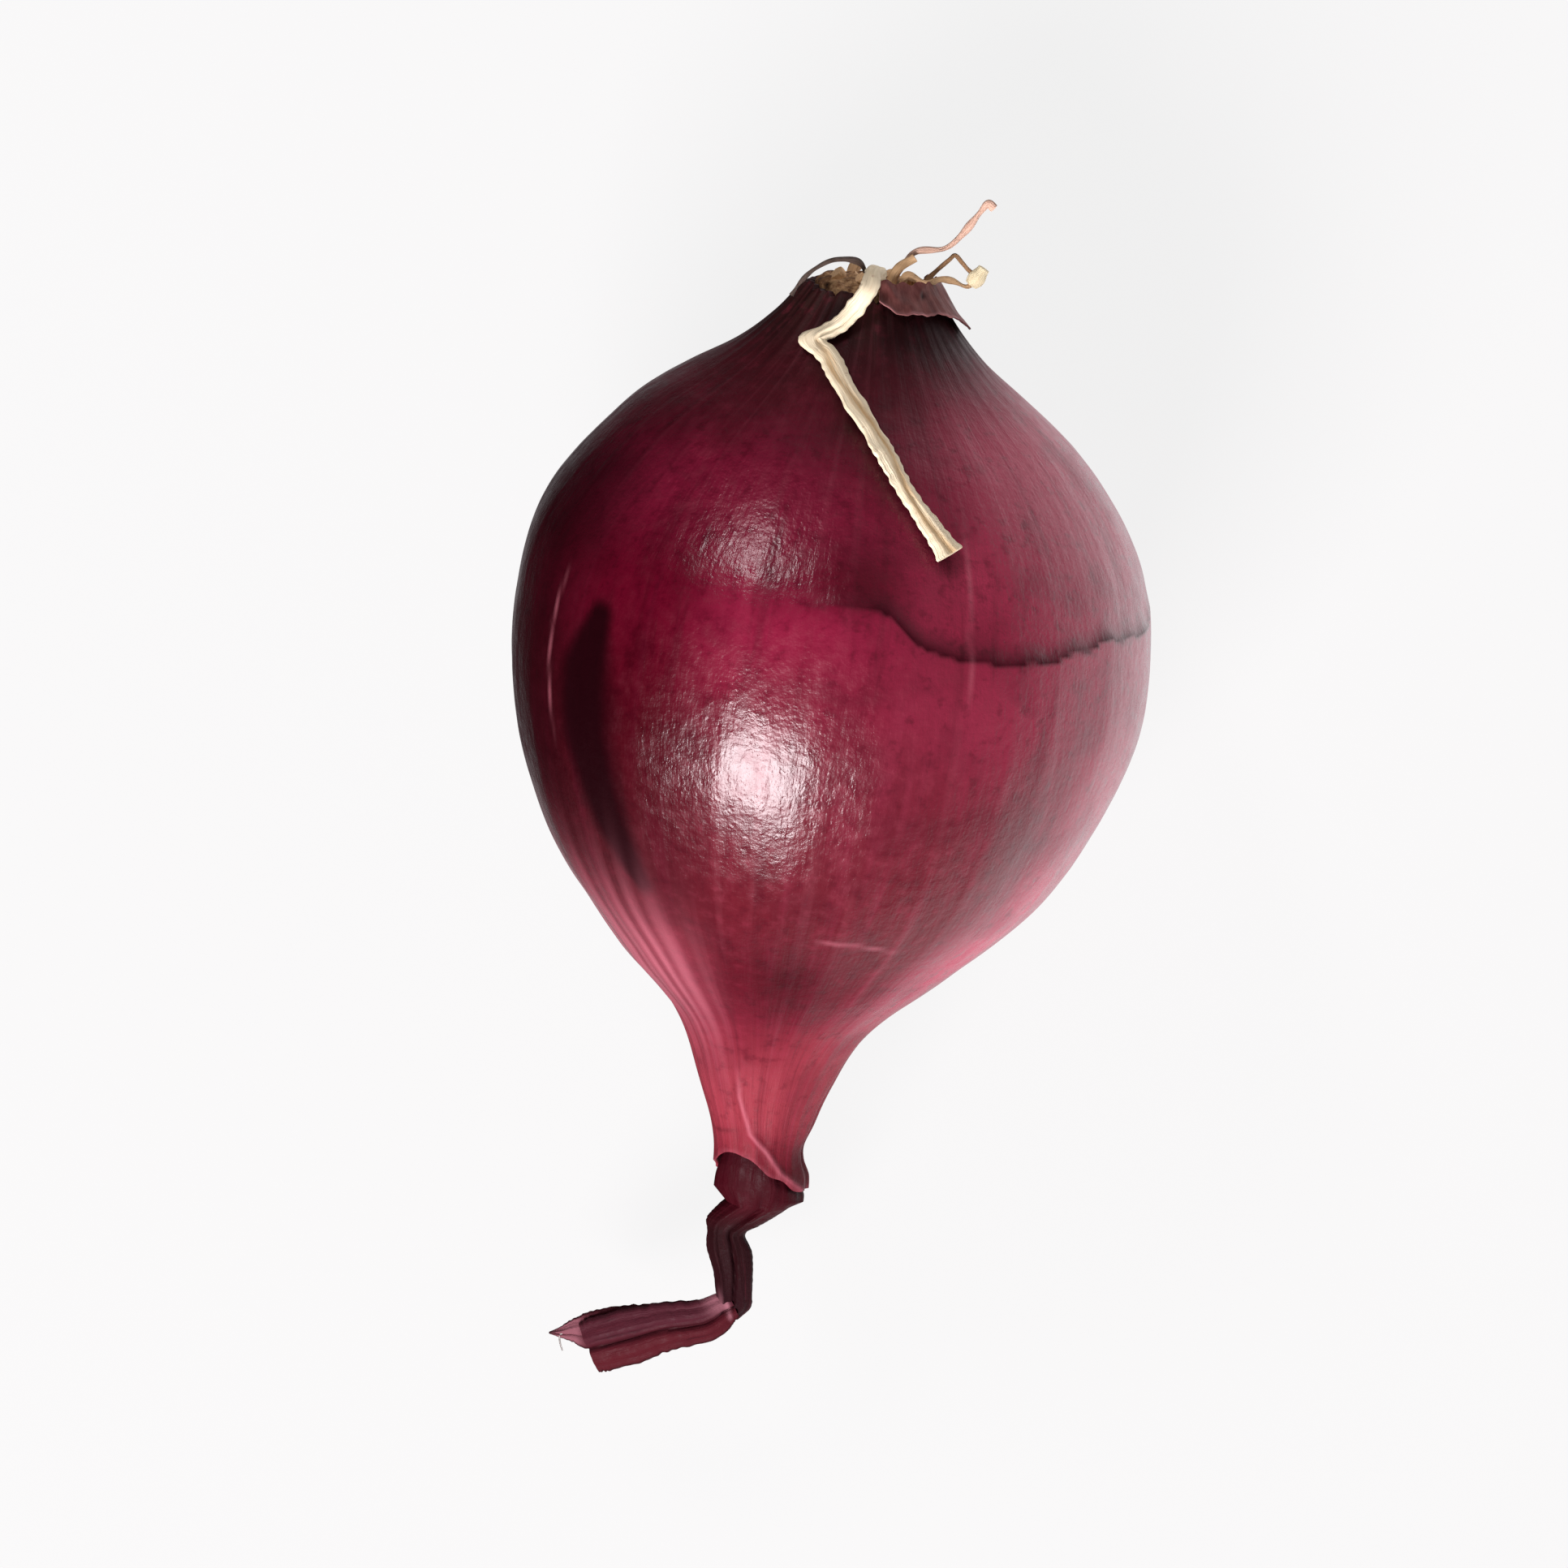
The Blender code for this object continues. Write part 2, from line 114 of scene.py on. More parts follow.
def curve_value(points, x):
    """Height at x of the smooth curve through the points, straight beyond its ends."""
    spots, heights = np.array(points).T
    steps = np.diff(spots)
    rises = np.diff(heights) / steps
    inner = (rises[:-1] * steps[1:] + rises[1:] * steps[:-1]) / (steps[:-1] + steps[1:])
    slopes = np.concatenate([rises[:1], inner, rises[-1:]])
    inside = np.clip(x, spots[0], spots[-1])
    i = np.clip(np.searchsorted(spots, inside, side="right") - 1, 0, len(steps) - 1)
    s = (inside - spots[i]) / steps[i]
    low = (1 + 2 * s) * (1 - s) ** 2 * heights[i] + s * (1 - s) ** 2 * steps[i] * slopes[i]
    high = s * s * (3 - 2 * s) * heights[i + 1] + s * s * (s - 1) * steps[i] * slopes[i + 1]
    beyond = np.where(x < spots[0], slopes[0], slopes[-1]) * (x - inside)
    return low + high + beyond


def turned(angle, middle=0.0):
    """Angle from a middle one to another, from minus half a turn to half a turn."""
    return (angle - middle + math.pi) % TURN - math.pi


def swelling(share, angle):
    """Height of the places where the skin stands out on one side."""
    total = 0.0
    for middle, reach, side, spread, height in SWELLS:
        away = np.degrees(turned(angle, math.radians(side)))
        total = total + height * hump(share, middle, reach) * hump(away, 0.0, spread)
    return total


def skin_radius(along, angle):
    """Distance from the axis to the skin. The angle is 0 on top and turns towards +X."""
    share = along / BULB_LENGTH
    radius = BULB_DIAMETER / 2 * curve_value(OUTLINE, share)
    lobes = sum(depth * np.cos(count * angle + start) for count, depth, start in LOBES)
    fullness = np.sin(math.pi * np.clip(share, 0.0, 1.0))
    return radius * (1.0 + fullness * lobes) + swelling(share, angle)


def lean(along):
    """How far the neck bows to the side. Its end comes back to the axis."""
    share = along / BULB_LENGTH
    return NECK_LEAN * up_from(share, 0.55, 0.35) * (1.0 - up_from(share, 0.88, 0.12))


def root_slant(along, upward):
    """How far the root end is pushed back at a height above the axis."""
    return down_to(along, ROOT_END, ROOT_END) * (ROOT_SET_BACK - ROOT_SLANT * upward)


def belly_point():
    """Length and radius at the lowest point of the outline, when the neck points down."""
    along = BULB_LENGTH * np.linspace(0.3, 0.6, 201)
    radius = skin_radius(along, math.pi)
    lowest = int(np.argmax(along * math.sin(NECK_DROP) + radius * math.cos(NECK_DROP)))
    return float(along[lowest]), float(radius[lowest])


BELLY_ALONG, BELLY_RADIUS = belly_point()
PLATE_CENTRE = -ALONG * BELLY_ALONG + UPWARD * BELLY_RADIUS - Vector((0.0, 0.0, REST_CUT))
DISH_RADIUS = float(skin_radius(0.0, 0.0)) - DISH_WALL
PLATE_RADIUS = DISH_RADIUS - 0.1 * MM
MOUTH_RADIUS = float(skin_radius(BULB_LENGTH, 0.0)) - 0.12 * MM


def places(along, sideways, upward):
    """World positions of points in the bulb's own directions, with the coordinates last."""
    sideways = sideways + lean(along)
    pushed = along + root_slant(along, upward)
    return np.stack([
        PLATE_CENTRE[k] + ALONG[k] * pushed + SIDEWAYS[k] * sideways + UPWARD[k] * upward
        for k in range(3)
    ], axis=-1)


def round_axis(along, radius, angle):
    """World positions at a distance from the axis and an angle round it."""
    return places(along, radius * np.sin(angle), radius * np.cos(angle))


def listed_places(table, start=0.0):
    """World positions of rows that begin with lengths past a start, to the side and up, in mm."""
    past, sideways, upward = np.array(table).T[:3] * MM
    return places(start + past, sideways, upward)


def off_skin(along, angle, lift):
    """World positions a little above the skin, square to its outline."""
    small = 0.05 * MM
    slope = (skin_radius(along + small, angle) - skin_radius(along - small, angle)) / (2 * small)
    rise = lift / np.hypot(1.0, slope)
    return round_axis(along - slope * rise, skin_radius(along, angle) + rise, angle)


def rim_tear(angle):
    """How far the rim of the neck is torn back."""
    return RIM_TEAR_DEPTH * hump(turned(angle, RIM_TEAR_ANGLE), 0.0, RIM_TEAR_SPREAD)


def streaks(angle, share, fewest, most, seed, terms=24, wander=1.0):
    """Lines along the meridians: waves round the axis, of random number, that wander along it."""
    draw = np.random.default_rng(seed)
    total = np.zeros_like(angle)
    for _ in range(terms):
        count = int(draw.integers(fewest, most))
        start, pace, shift = draw.uniform(0.0, TURN), draw.uniform(3.0, 12.0), draw.uniform(0.0, TURN)
        total = total + np.sin(count * angle + start + wander * np.sin(pace * share + shift))
    return total / math.sqrt(terms / 2)


def mean_waves(draw, x, slowest, fastest, terms):
    """Mean of waves along x of random pace and start."""
    waves = [np.sin(x * draw.uniform(slowest, fastest) + draw.uniform(0, TURN)) for _ in range(terms)]
    return sum(waves) / terms


def lumps(points, size, seed):
    """Soft random heights between about -1 and 1, at positions in metres."""
    shift = Vector((seed * 7.3, seed * 3.1, seed * 5.7))
    heights = [noise.noise(Vector(p) / size + shift) for p in points.reshape(-1, 3)]
    return np.array(heights).reshape(points.shape[:-1])


# Meshes

def add_object(name, data):
    made = bpy.data.objects.new(name, data)
    bpy.context.scene.collection.objects.link(made)
    return made


def ring_faces(rows, columns):
    """Faces of a closed surface of rings, with a fan at each end."""
    here = np.arange(rows * columns).reshape(rows, columns)
    beside = np.roll(here, -1, axis=1)
    faces = np.stack([here[:-1], beside[:-1], beside[1:], here[1:]], axis=-1).reshape(-1, 4).tolist()
    for c, k in zip(here[0].tolist(), beside[0].tolist()):
        below = (rows - 1) * columns
        faces += [(rows * columns, k, c), (rows * columns + 1, below + c, below + k)]
    return faces


def ring_piece(name, rings, material, crease=60.0, **marks):
    """Closed piece through rings (rows, columns, coordinates), shaded smooth up to its creases.

    Each mark holds a number or a vector for every point, for the material to read by its name.
    """
    rows, columns = rings.shape[:2]

    def with_ends(values):
        """Values of all points, then the mean of the first ring and of the last."""
        whole = np.broadcast_to(values, (rows, columns) + values.shape[2:]).reshape(rows, columns, -1)
        ends = [whole[0].mean(axis=0), whole[-1].mean(axis=0)]
        return np.concatenate([whole.reshape(rows * columns, -1), ends])

    data = bpy.data.meshes.new(name)
    data.from_pydata(with_ends(rings).tolist(), [], ring_faces(rows, columns))
    data.validate()
    mesh = bmesh.new()
    mesh.from_mesh(data)
    bmesh.ops.recalc_face_normals(mesh, faces=mesh.faces)
    mesh.to_mesh(data)
    mesh.free()
    data.materials.append(material)
    data.shade_smooth()
    data.set_sharp_from_angle(angle=math.radians(crease))
    for mark, values in marks.items():
        kind, field = ("FLOAT_VECTOR", "vector") if values.ndim == 3 else ("FLOAT", "value")
        stored = data.attributes.new(mark, kind, "POINT").data
        stored.foreach_set(field, with_ends(values).astype(np.float32).ravel())
    return add_object(name, data)


# Materials

def opaque(colour):
    """Colour with its opacity, or the output of a node as it is."""
    return (*colour, 1.0) if isinstance(colour, tuple) else colour


class Nodes:
    """Nodes of a material or of the world, joined by their outputs."""

    def __init__(self, tree):
        self.tree = tree

    def fill(self, socket, value):
        """Give an input a value or the output of another node."""
        if isinstance(value, bpy.types.NodeSocket):
            self.tree.links.new(value, socket)
        else:
            socket.default_value = value

    def add(self, kind, inputs, **settings):
        made = self.tree.nodes.new("ShaderNode" + kind)
        for name, value in settings.items():
            setattr(made, name, value)
        for name, value in inputs.items():
            self.fill(made.inputs[name], value)
        return made

    def attribute(self, name, output="Fac"):
        return self.add("Attribute", {}, attribute_name=name).outputs[output]

    def scaled(self, vector, scale):
        return self.add("VectorMath", {0: vector, 1: scale}, operation="MULTIPLY").outputs[0]

    def millimetres(self):
        """Object coordinates in millimetres."""
        return self.scaled(self.add("TexCoord", {}).outputs["Object"], (1.0 / MM,) * 3)

    def noise(self, vector, scale, detail=3.0, roughness=0.55):
        inputs = {"Vector": vector, "Scale": scale, "Detail": detail, "Roughness": roughness}
        return self.add("TexNoise", inputs).outputs["Fac"]

    def ranged(self, value, low, high, to_low=0.0, to_high=1.0):
        """Value moved from one range to another, and held inside it."""
        ends = {"Value": value, "From Min": low, "From Max": high, "To Min": to_low, "To Max": to_high}
        return self.add("MapRange", ends, interpolation_type="SMOOTHSTEP").outputs[0]

    def maths(self, operation, a, b):
        return self.add("Math", {0: a, 1: b}, operation=operation).outputs[0]

    def blended(self, amount, a, b, blend="MIX"):
        """Colour a turned into colour b by an amount."""
        inputs = {0: amount, 6: opaque(a), 7: opaque(b)}
        return self.add("Mix", inputs, data_type="RGBA", blend_type=blend).outputs[2]

    def tinted(self, colour, value, low, high, most, tint):
        """Colour turned into a tint, at most so far, as a value goes from low to high."""
        return self.blended(self.ranged(value, low, high, 0.0, most), colour, tint)

    def marked(self, colour, **tints):
        """Colour turned into tints by the marks of the piece that they are named after."""
        for mark, tint in tints.items():
            colour = self.blended(self.attribute(mark), colour, tint)
        return colour

    def ramp(self, value, stops):
        """Colour by a value, through rows of a place and a colour."""
        made = self.add("ValToRGB", {"Fac": value})
        elements = made.color_ramp.elements
        while len(elements) < len(stops):
            elements.new(0.5)
        for element, (spot, *colour) in zip(elements, stops):
            element.position = spot
            element.color = (*colour, 1.0)
        return made.outputs["Color"]


class Finish(Nodes):
    """Principled material."""

    def __init__(self, name, roughness, specular=0.5):
        self.material = bpy.data.materials.new(name)
        self.material.use_nodes = True
        super().__init__(self.material.node_tree)
        self.shade("Roughness", roughness)
        self.shade("Specular IOR Level", specular)

    def shade(self, name, value):
        """Give an input of the shader a value or the output of a node."""
        self.fill(self.tree.nodes["Principled BSDF"].inputs[name], value)

    def relief(self, *layers):
        """Bumps from heights and their distances in millimetres, each over the one before."""
        before = {}
        for height, distance in layers:
            bump = self.add("Bump", {"Height": height, "Distance": distance * MM, **before})
            before = {"Normal": bump.outputs["Normal"]}
        self.shade("Normal", before["Normal"])


def skin_material():
    """Dry outer skin: wine red with a dark root end and a pink neck, veined, crinkled and glossy, with
    painted light, shade and sheen.
    """
    skin = Finish("onion_skin", 0.3)
    meridian = skin.attribute("meridian", "Vector")
    share = skin.attribute("share")
    millimetres = skin.millimetres()

    blotch = skin.noise(millimetres, 0.20)
    shifted = skin.maths("ADD", share, skin.ranged(blotch, 0.3, 0.7, -0.03, 0.03))
    colour = skin.ramp(shifted, (
        (0.00, 0.030, 0.011, 0.009), (0.05, 0.038, 0.008, 0.009), (0.11, 0.090, 0.006, 0.014),
        (0.18, 0.190, 0.008, 0.032), (0.30, 0.200, 0.008, 0.034), (0.45, 0.115, 0.006, 0.017),
        (0.64, 0.095, 0.006, 0.013), (0.76, 0.120, 0.008, 0.019), (0.85, 0.225, 0.028, 0.042),
        (0.93, 0.235, 0.029, 0.043), (1.00, 0.150, 0.011, 0.020),
    ))
    # Painted light from the right: the right side and right edge made lighter and pinker
    colour = skin.marked(colour, rosy=(0.470, 0.048, 0.105))
    streak = skin.noise(skin.scaled(meridian, (11.0, 11.0, 0.6)), 1.0, 5.0, 0.62)
    streaked = skin.ranged(share, 0.02, 0.22, 0.35, 1.0)
    lighter = skin.maths("MULTIPLY", skin.ranged(streak, 0.48, 0.78, 0.0, 0.24), streaked)
    darker = skin.maths("MULTIPLY", skin.ranged(streak, 0.50, 0.26, 0.0, 0.42), streaked)
    colour = skin.blended(lighter, colour, (0.280, 0.032, 0.068))
    colour = skin.blended(darker, colour, (0.050, 0.003, 0.008))
    mottle = skin.noise(millimetres, 2.1, 3.0, 0.6)
    cloud = skin.noise(millimetres, 0.55, 2.0, 0.5)
    for value, low, high, most, tint in (
        (mottle, 0.50, 0.75, 0.26, (0.230, 0.024, 0.048)),
        (mottle, 0.48, 0.28, 0.38, (0.050, 0.003, 0.008)),
        (cloud, 0.50, 0.34, 0.22, (0.050, 0.002, 0.008)),
        (skin.attribute("veins"), 0.2, 1.0, 0.07, (0.330, 0.080, 0.110)),
    ):
        colour = skin.tinted(colour, value, low, high, most, tint)
    # Painted shade down the left side and round the crease, and a deeper red above and in the neck
    colour = skin.blended(skin.attribute("deep"), colour, (0.43, 0.17, 0.31), "MULTIPLY")
    # Dark: painted shade, the painted dark reflection, and the dish and mouth; pale: fine lines, neck
    # fold, rim and painted sheen
    colour = skin.marked(colour, dark=(0.008, 0.001, 0.002), pale=(0.490, 0.145, 0.190))
    skin.shade("Base Color", colour)

    dry = skin.ranged(share, 0.20, 0.0, 0.0, 0.3)
    papery = skin.ranged(share, 0.74, 0.90, 0.0, 0.22)
    mottled = skin.ranged(mottle, 0.3, 0.7, 0.20, 0.30)
    skin.shade("Roughness", skin.maths("ADD", mottled, skin.maths("ADD", dry, papery)))
    root_end = skin.ranged(share, 0.02, 0.30, 0.3, 1.0)
    shine = skin.maths("MULTIPLY", skin.ranged(share, 0.54, 0.74, 0.42, 0.07), root_end)
    shine = skin.maths("MULTIPLY", shine, skin.ranged(skin.attribute("dark"), 0.2, 0.95, 1.0, 0.2))
    skin.shade("Specular IOR Level", shine)
    fibre = skin.noise(skin.scaled(meridian, (46.0, 46.0, 4.0)), 1.0, 3.0, 0.6)
    crinkle = skin.noise(millimetres, 2.8, 3.0, 0.6)
    grain = skin.noise(millimetres, 8.0, 2.0, 0.5)
    skin.relief((fibre, 0.017), (crinkle, 0.023), (grain, 0.008))
    return skin.material


def root_material(name, pale, brown, dark, browned=(0.50, 0.74)):
    """Dried root: pale and stringy, with brown lanes along it, and browned in patches along the groove
    that the piece marks.
    """
    root = Finish(name, 0.6, 0.35)
    spot = root.attribute("lane", "Vector")
    lanes = root.noise(spot, 1.0, 4.0, 0.6)
    fibres = root.noise(root.scaled(spot, (3.0, 3.0, 0.5)), 1.0, 3.0, 0.6)
    grain = root.noise(root.millimetres(), 5.0)
    core = root.ranged(lanes, 0.30, 0.60, 0.15, 0.8)
    colour = root.tinted(pale, lanes, *browned, 0.8, brown)
    colour = root.blended(root.maths("MULTIPLY", root.attribute("worn"), core), colour, brown)
    root.shade("Base Color", root.tinted(colour, grain, 0.62, 0.82, 0.6, dark))
    root.shade("Roughness", root.ranged(grain, 0.3, 0.7, 0.50, 0.72))
    root.relief((lanes, 0.06), (fibres, 0.03))
    return root.material


def cork_material():
    """Corky root plate: golden brown, dark in its pits."""
    cork = Finish("corky_plate", 0.8, 0.3)
    grain = cork.noise(cork.millimetres(), 2.6, 5.0, 0.65)
    cork.shade("Base Color", cork.ramp(grain, (
        (0.32, 0.040, 0.018, 0.010), (0.48, 0.210, 0.105, 0.045), (0.64, 0.600, 0.380, 0.190),
    )))
    cork.relief((grain, 0.12))
    return cork.material


def scrap_material():
    """Torn dry skin: mauve brown, veined, with a pale lip."""
    scrap = Finish("torn_skin", 0.6, 0.2)
    lanes = scrap.noise(scrap.attribute("lane", "Vector"), 1.0, 5.0, 0.6)
    patches = scrap.noise(scrap.millimetres(), 1.3, 3.0, 0.6)
    colour = scrap.tinted((0.130, 0.038, 0.034), lanes, 0.35, 0.70, 1.0, (0.230, 0.084, 0.076))
    colour = scrap.tinted(colour, patches, 0.50, 0.30, 0.5, (0.050, 0.014, 0.014))
    # Pale lip, and painted shade in the small hole
    colour = scrap.marked(colour, pale=(0.340, 0.150, 0.150), dark=(0.012, 0.002, 0.003))
    scrap.shade("Base Color", colour)
    scrap.shade("Roughness", scrap.ranged(patches, 0.3, 0.7, 0.50, 0.70))
    scrap.relief((lanes, 0.04))
    return scrap.material


def leaf_material():
    """Withered leaf: nearly black purple at the neck, redder along the folded strip."""
    leaf = Finish("withered_leaf", 0.5, 0.05)
    spot = leaf.attribute("lane", "Vector")
    lanes = leaf.noise(spot, 1.0, 5.0, 0.65)
    fibres = leaf.noise(leaf.scaled(spot, (2.6, 2.6, 0.8)), 1.0, 3.0, 0.6)
    crinkle = leaf.noise(leaf.millimetres(), 3.0, 3.0, 0.6)
    colour = leaf.ramp(leaf.attribute("reach"), (
        (0.00, 0.022, 0.002, 0.004), (0.20, 0.034, 0.002, 0.005), (0.34, 0.015, 0.003, 0.004),
        (0.58, 0.016, 0.003, 0.005), (0.64, 0.052, 0.011, 0.018), (1.00, 0.060, 0.006, 0.010),
    ))
    colour = leaf.tinted(colour, lanes, 0.52, 0.76, 0.35, (0.085, 0.012, 0.020))
    colour = leaf.tinted(colour, lanes, 0.46, 0.26, 0.6, (0.012, 0.002, 0.004))
    # Dark: painted shade along the creases, and darker edges; pale: painted highlights and sheen, and
    # the under ply's pale tip
    colour = leaf.marked(colour, dark=(0.010, 0.002, 0.003), pale=(0.360, 0.150, 0.185))
    leaf.shade("Base Color", colour)
    leaf.shade("Roughness", leaf.ranged(crinkle, 0.3, 0.7, 0.42, 0.66))
    leaf.relief((lanes, 0.04), (fibres, 0.02), (crinkle, 0.04))
    return leaf.material


# The skin of the bulb

SKIN_COLUMNS = 400
SKIN_ROWS = 236
SKIN_INSET = 0.01 * MM

# A crease round the belly, sharp towards the neck: angle from the top in degrees, length in mm
CREASE = (
    (-20.0, 7.90), (-6.0, 8.50), (5.3, 8.25), (13.1, 8.84), (19.0, 9.48), (26.0, 9.72), (35.0, 9.88),
    (47.0, 9.80), (60.0, 9.50), (75.4, 9.74), (95.0, 9.40),
)
CREASE_STEP = 0.13 * MM
CREASE_WIDTH = 0.75 * MM
CREASE_LIP = 0.06 * MM
CREASE_RAGGED = 0.05 * MM
CREASE_RECOVERY = 3.5 * MM

# Lines on the skin, as (length in mm, angle from the top in degrees) points
NECK_FOLD = ((25.0, -22.0), (26.4, -20.0), (27.7, -11.0), (28.3, 10.0), (28.9, 27.0), (29.5, 62.0))
NECK_PATCH_EDGE = ((27.95, -85.0), (27.80, -50.0), (27.60, -19.0))
# Painted dark reflection on the left, a black lens of mirrored shade
DARK_REFLECTION = ((10.2, -44.5), (12.0, -46.5), (14.0, -46.0), (16.5, -41.5), (18.6, -35.0))
DARK_REFLECTION_HALF_WIDTHS = (0.55, 1.40, 1.40, 0.95, 0.35)
# Fine pale lines: points and strength
PALE_LINES = (
    (((4.7, 28.0), (7.0, 27.0), (9.0, 26.5), (11.6, 27.2)), 0.32),
    (((8.9, -56.5), (11.0, -58.0), (15.1, -55.7)), 0.35),
    (((19.70, 5.0), (19.75, 17.0), (20.05, 31.0)), 0.32),
    (((12.6, 48.0), (16.4, 52.0)), 0.15),
    (((7.2, 44.0), (9.3, 45.0)), 0.18),
)
PALE_LINE_WIDTH = 0.06 * MM

# The neck is pinched in on one side, just before its rim: length in mm and angle in degrees
PINCH_SPOT = (28.35, 90.0)
PINCH_REACH = (0.55, 42.0)
PINCH_DEPTH = 0.16 * MM
PINCH_FLARE = 0.10 * MM

# Zones of colour, round the skin in degrees from the top and along it as shares of its length:
# where each starts, over how much it rises, where it ends and over how much it falls
CREASE_SIDE = (-14.0, 30.0, 108.0, 30.0)
LEFT_PAINTED_SHADE_SIDE = (-140.0, 30.0, -12.0, 20.0)
LEFT_PAINTED_SHADE_LENGTH = (0.17, 0.12, 0.71, 0.10)
DEEP_FOLD_SIDE = (-8.0, 12.0, 95.0, 30.0)
# Painted shade low on the left
SHADE_SIDE = (-135.0, 30.0, -40.0, 24.0)
SHADE_LENGTH = (0.10, 0.12, 0.66, 0.14)
SCRAP_SHADE_SIDE = (0.0, 16.0, 140.0, 30.0)
# Painted sheen, a pale reflection, low on the left above the neck and down the right edge: strength,
# side, share and reach
PAINTED_SHEENS = ((0.52, (-130.0, 30.0, -16.0, 28.0), 0.74, 0.09), (0.30, (54.0, 30.0, 140.0, 30.0), 0.60, 0.16))
# Painted shade round the crease: strength, length in mm and reach, degrees and spread
CREASE_PAINTED_SHADES = ((1.0, 7.6, 1.1, 4.0, 15.0), (0.8, 9.2, 2.4, 30.0, 24.0))

# Flat strips between the veins: count round the axis, depth in mm and start
FACETS = ((9, 0.045, 0.4), (14, 0.035, 1.9), (23, 0.020, 3.3))
VEIN_HEIGHT = 0.010 * MM
# Lumps: size and height in mm, and seed
SKIN_LUMPS = ((3.2, 0.045, 1), (1.0, 0.014, 2))
NECK_FOLDS_HEIGHT = 0.020 * MM
ROOT_FOLDS_HEIGHT = 0.012 * MM

# Rings inside the dish, as shares of its depth and radius, and inside the mouth: how far back from
# the rim and how much narrower than the mouth, in mm. The painted shade inside each of these recesses
DISH_RINGS = ((1.0, 0.5), (1.0, 0.93), (0.7, 1.0))
MOUTH_RINGS = ((-0.01, -0.05), (0.06, 0.0), (1.0, 0.22))
DISH_PAINTED_SHADE = 0.6
MOUTH_PAINTED_SHADE = 0.9


def line_distance(along, angle, points):
    """Distance over the skin to a line, in metres, and how far along the line, from 0 to 1."""
    girth = skin_radius(along, angle)
    nearest = np.full(along.shape, 1.0)
    reached = np.zeros_like(along)
    for i, ((start, start_angle), (end, end_angle)) in enumerate(zip(points, points[1:])):
        ahead = (end - start) * MM
        across = math.radians(end_angle - start_angle) * girth
        to_along = along - start * MM
        to_across = turned(angle - math.radians(start_angle)) * girth
        share = np.clip((to_along * ahead + to_across * across) / (ahead ** 2 + across ** 2), 0.0, 1.0)
        away = np.hypot(to_along - share * ahead, to_across - share * across)
        reached = np.where(away < nearest, (i + share) / (len(points) - 1), reached)
        nearest = np.minimum(nearest, away)
    return nearest, reached


def crease_marks(along, angle):
    """Lift of the skin round the crease, and the strength of its shade."""
    degrees = np.degrees(turned(angle))
    fade = window(degrees, *CREASE_SIDE)
    ragged = CREASE_RAGGED * streaks(angle, 0.0, 8, 44, seed=31, terms=14)
    away = along - curve_value(CREASE, degrees) * MM - ragged
    near = np.clip(1.0 + away / CREASE_WIDTH, 0.0, 1.0) ** 1.6
    shade = np.where(away < 0.0, near, np.clip(1.0 - away / CREASE_LIP, 0.0, 1.0))
    dip = np.where(away < 0.0, 1.0 - near, 0.0)
    recover = smooth_step(1.0 + (away + CREASE_WIDTH) / CREASE_RECOVERY)
    return -CREASE_STEP * dip * recover * fade, shade * fade


def neck_marks(along, angle):
    """Lift and paleness of the folded outer layer on the neck, and the shade under its edges."""
    away, reached = line_distance(along, angle, NECK_FOLD)
    strength = smooth_step(reached * 4.0)
    lift = 0.07 * MM * hump(away, 0.0, 0.13 * MM) * strength
    pale = 0.42 * hump(away, 0.0, 0.085 * MM) * strength
    away, reached = line_distance(along, angle, NECK_PATCH_EDGE)
    return lift, pale, 0.35 * hump(away, 0.0, 0.07 * MM) * np.sin(math.pi * reached)


def neck_pinch(along, angle):
    """Lift of the skin where one side of the neck is pinched in and its rim flares out."""
    spot, middle = PINCH_SPOT
    length, width = PINCH_REACH
    past = (along / MM - spot) / length
    lift = PINCH_FLARE * smooth_step(past - 0.6) - PINCH_DEPTH * hump(past, 0.0, 1.0)
    return hump(np.degrees(turned(angle)), middle, width) * lift


def dark_reflection_strength(along, angle):
    """Darkness of the painted dark reflection on the left."""
    away, reached = line_distance(along, angle, DARK_REFLECTION)
    spots = np.linspace(0.0, 1.0, len(DARK_REFLECTION_HALF_WIDTHS))
    return smooth_step(1.45 - away / (np.interp(reached, spots, DARK_REFLECTION_HALF_WIDTHS) * MM))


def pale_lines(along, angle):
    """Strength of the fine pale lines and scratches."""
    total = np.zeros_like(along)
    for points, strength in PALE_LINES:
        away, reached = line_distance(along, angle, points)
        total = np.maximum(
            total, strength * window(reached, 0.0, 0.25, 1.0, 0.25) * hump(away, 0.0, PALE_LINE_WIDTH)
        )
    return total


def deep_red_and_painted_shade(along, share, degrees):
    """Where the skin is darker red: painted shade down the left side and round the crease, and a deeper
    red above the neck and in it.
    """
    left = window(degrees, *LEFT_PAINTED_SHADE_SIDE) * window(share, *LEFT_PAINTED_SHADE_LENGTH)
    painted_crease_shade = np.maximum(*(
        strength * hump(along / MM, middle, reach) * hump(degrees, side, spread)
        for strength, middle, reach, side, spread in CREASE_PAINTED_SHADES
    ))
    brow = hump(share, 0.73, 0.06) * hump(degrees, 2.0, 18.0)
    fold = window(degrees, *DEEP_FOLD_SIDE) * up_from(share, 0.92, 0.03)
    return np.clip(left + painted_crease_shade + brow + 0.5 * fold, 0.0, 1.0)


def root_end_shade(along, angle, degrees):
    """Brown shade on the skin beside the long root and under the scrap."""
    route = [(spot, math.degrees(angle_on_skin(spot, side))) for spot, side in LONG_ROOT_ON_SKIN]
    beside = hump(line_distance(along, angle, route)[0], 0.0, 0.50 * MM)
    under = window(degrees, *SCRAP_SHADE_SIDE) * down_to(along / MM, 2.1, 1.0)
    return np.clip(0.75 * beside + 0.6 * under, 0.0, 0.8)


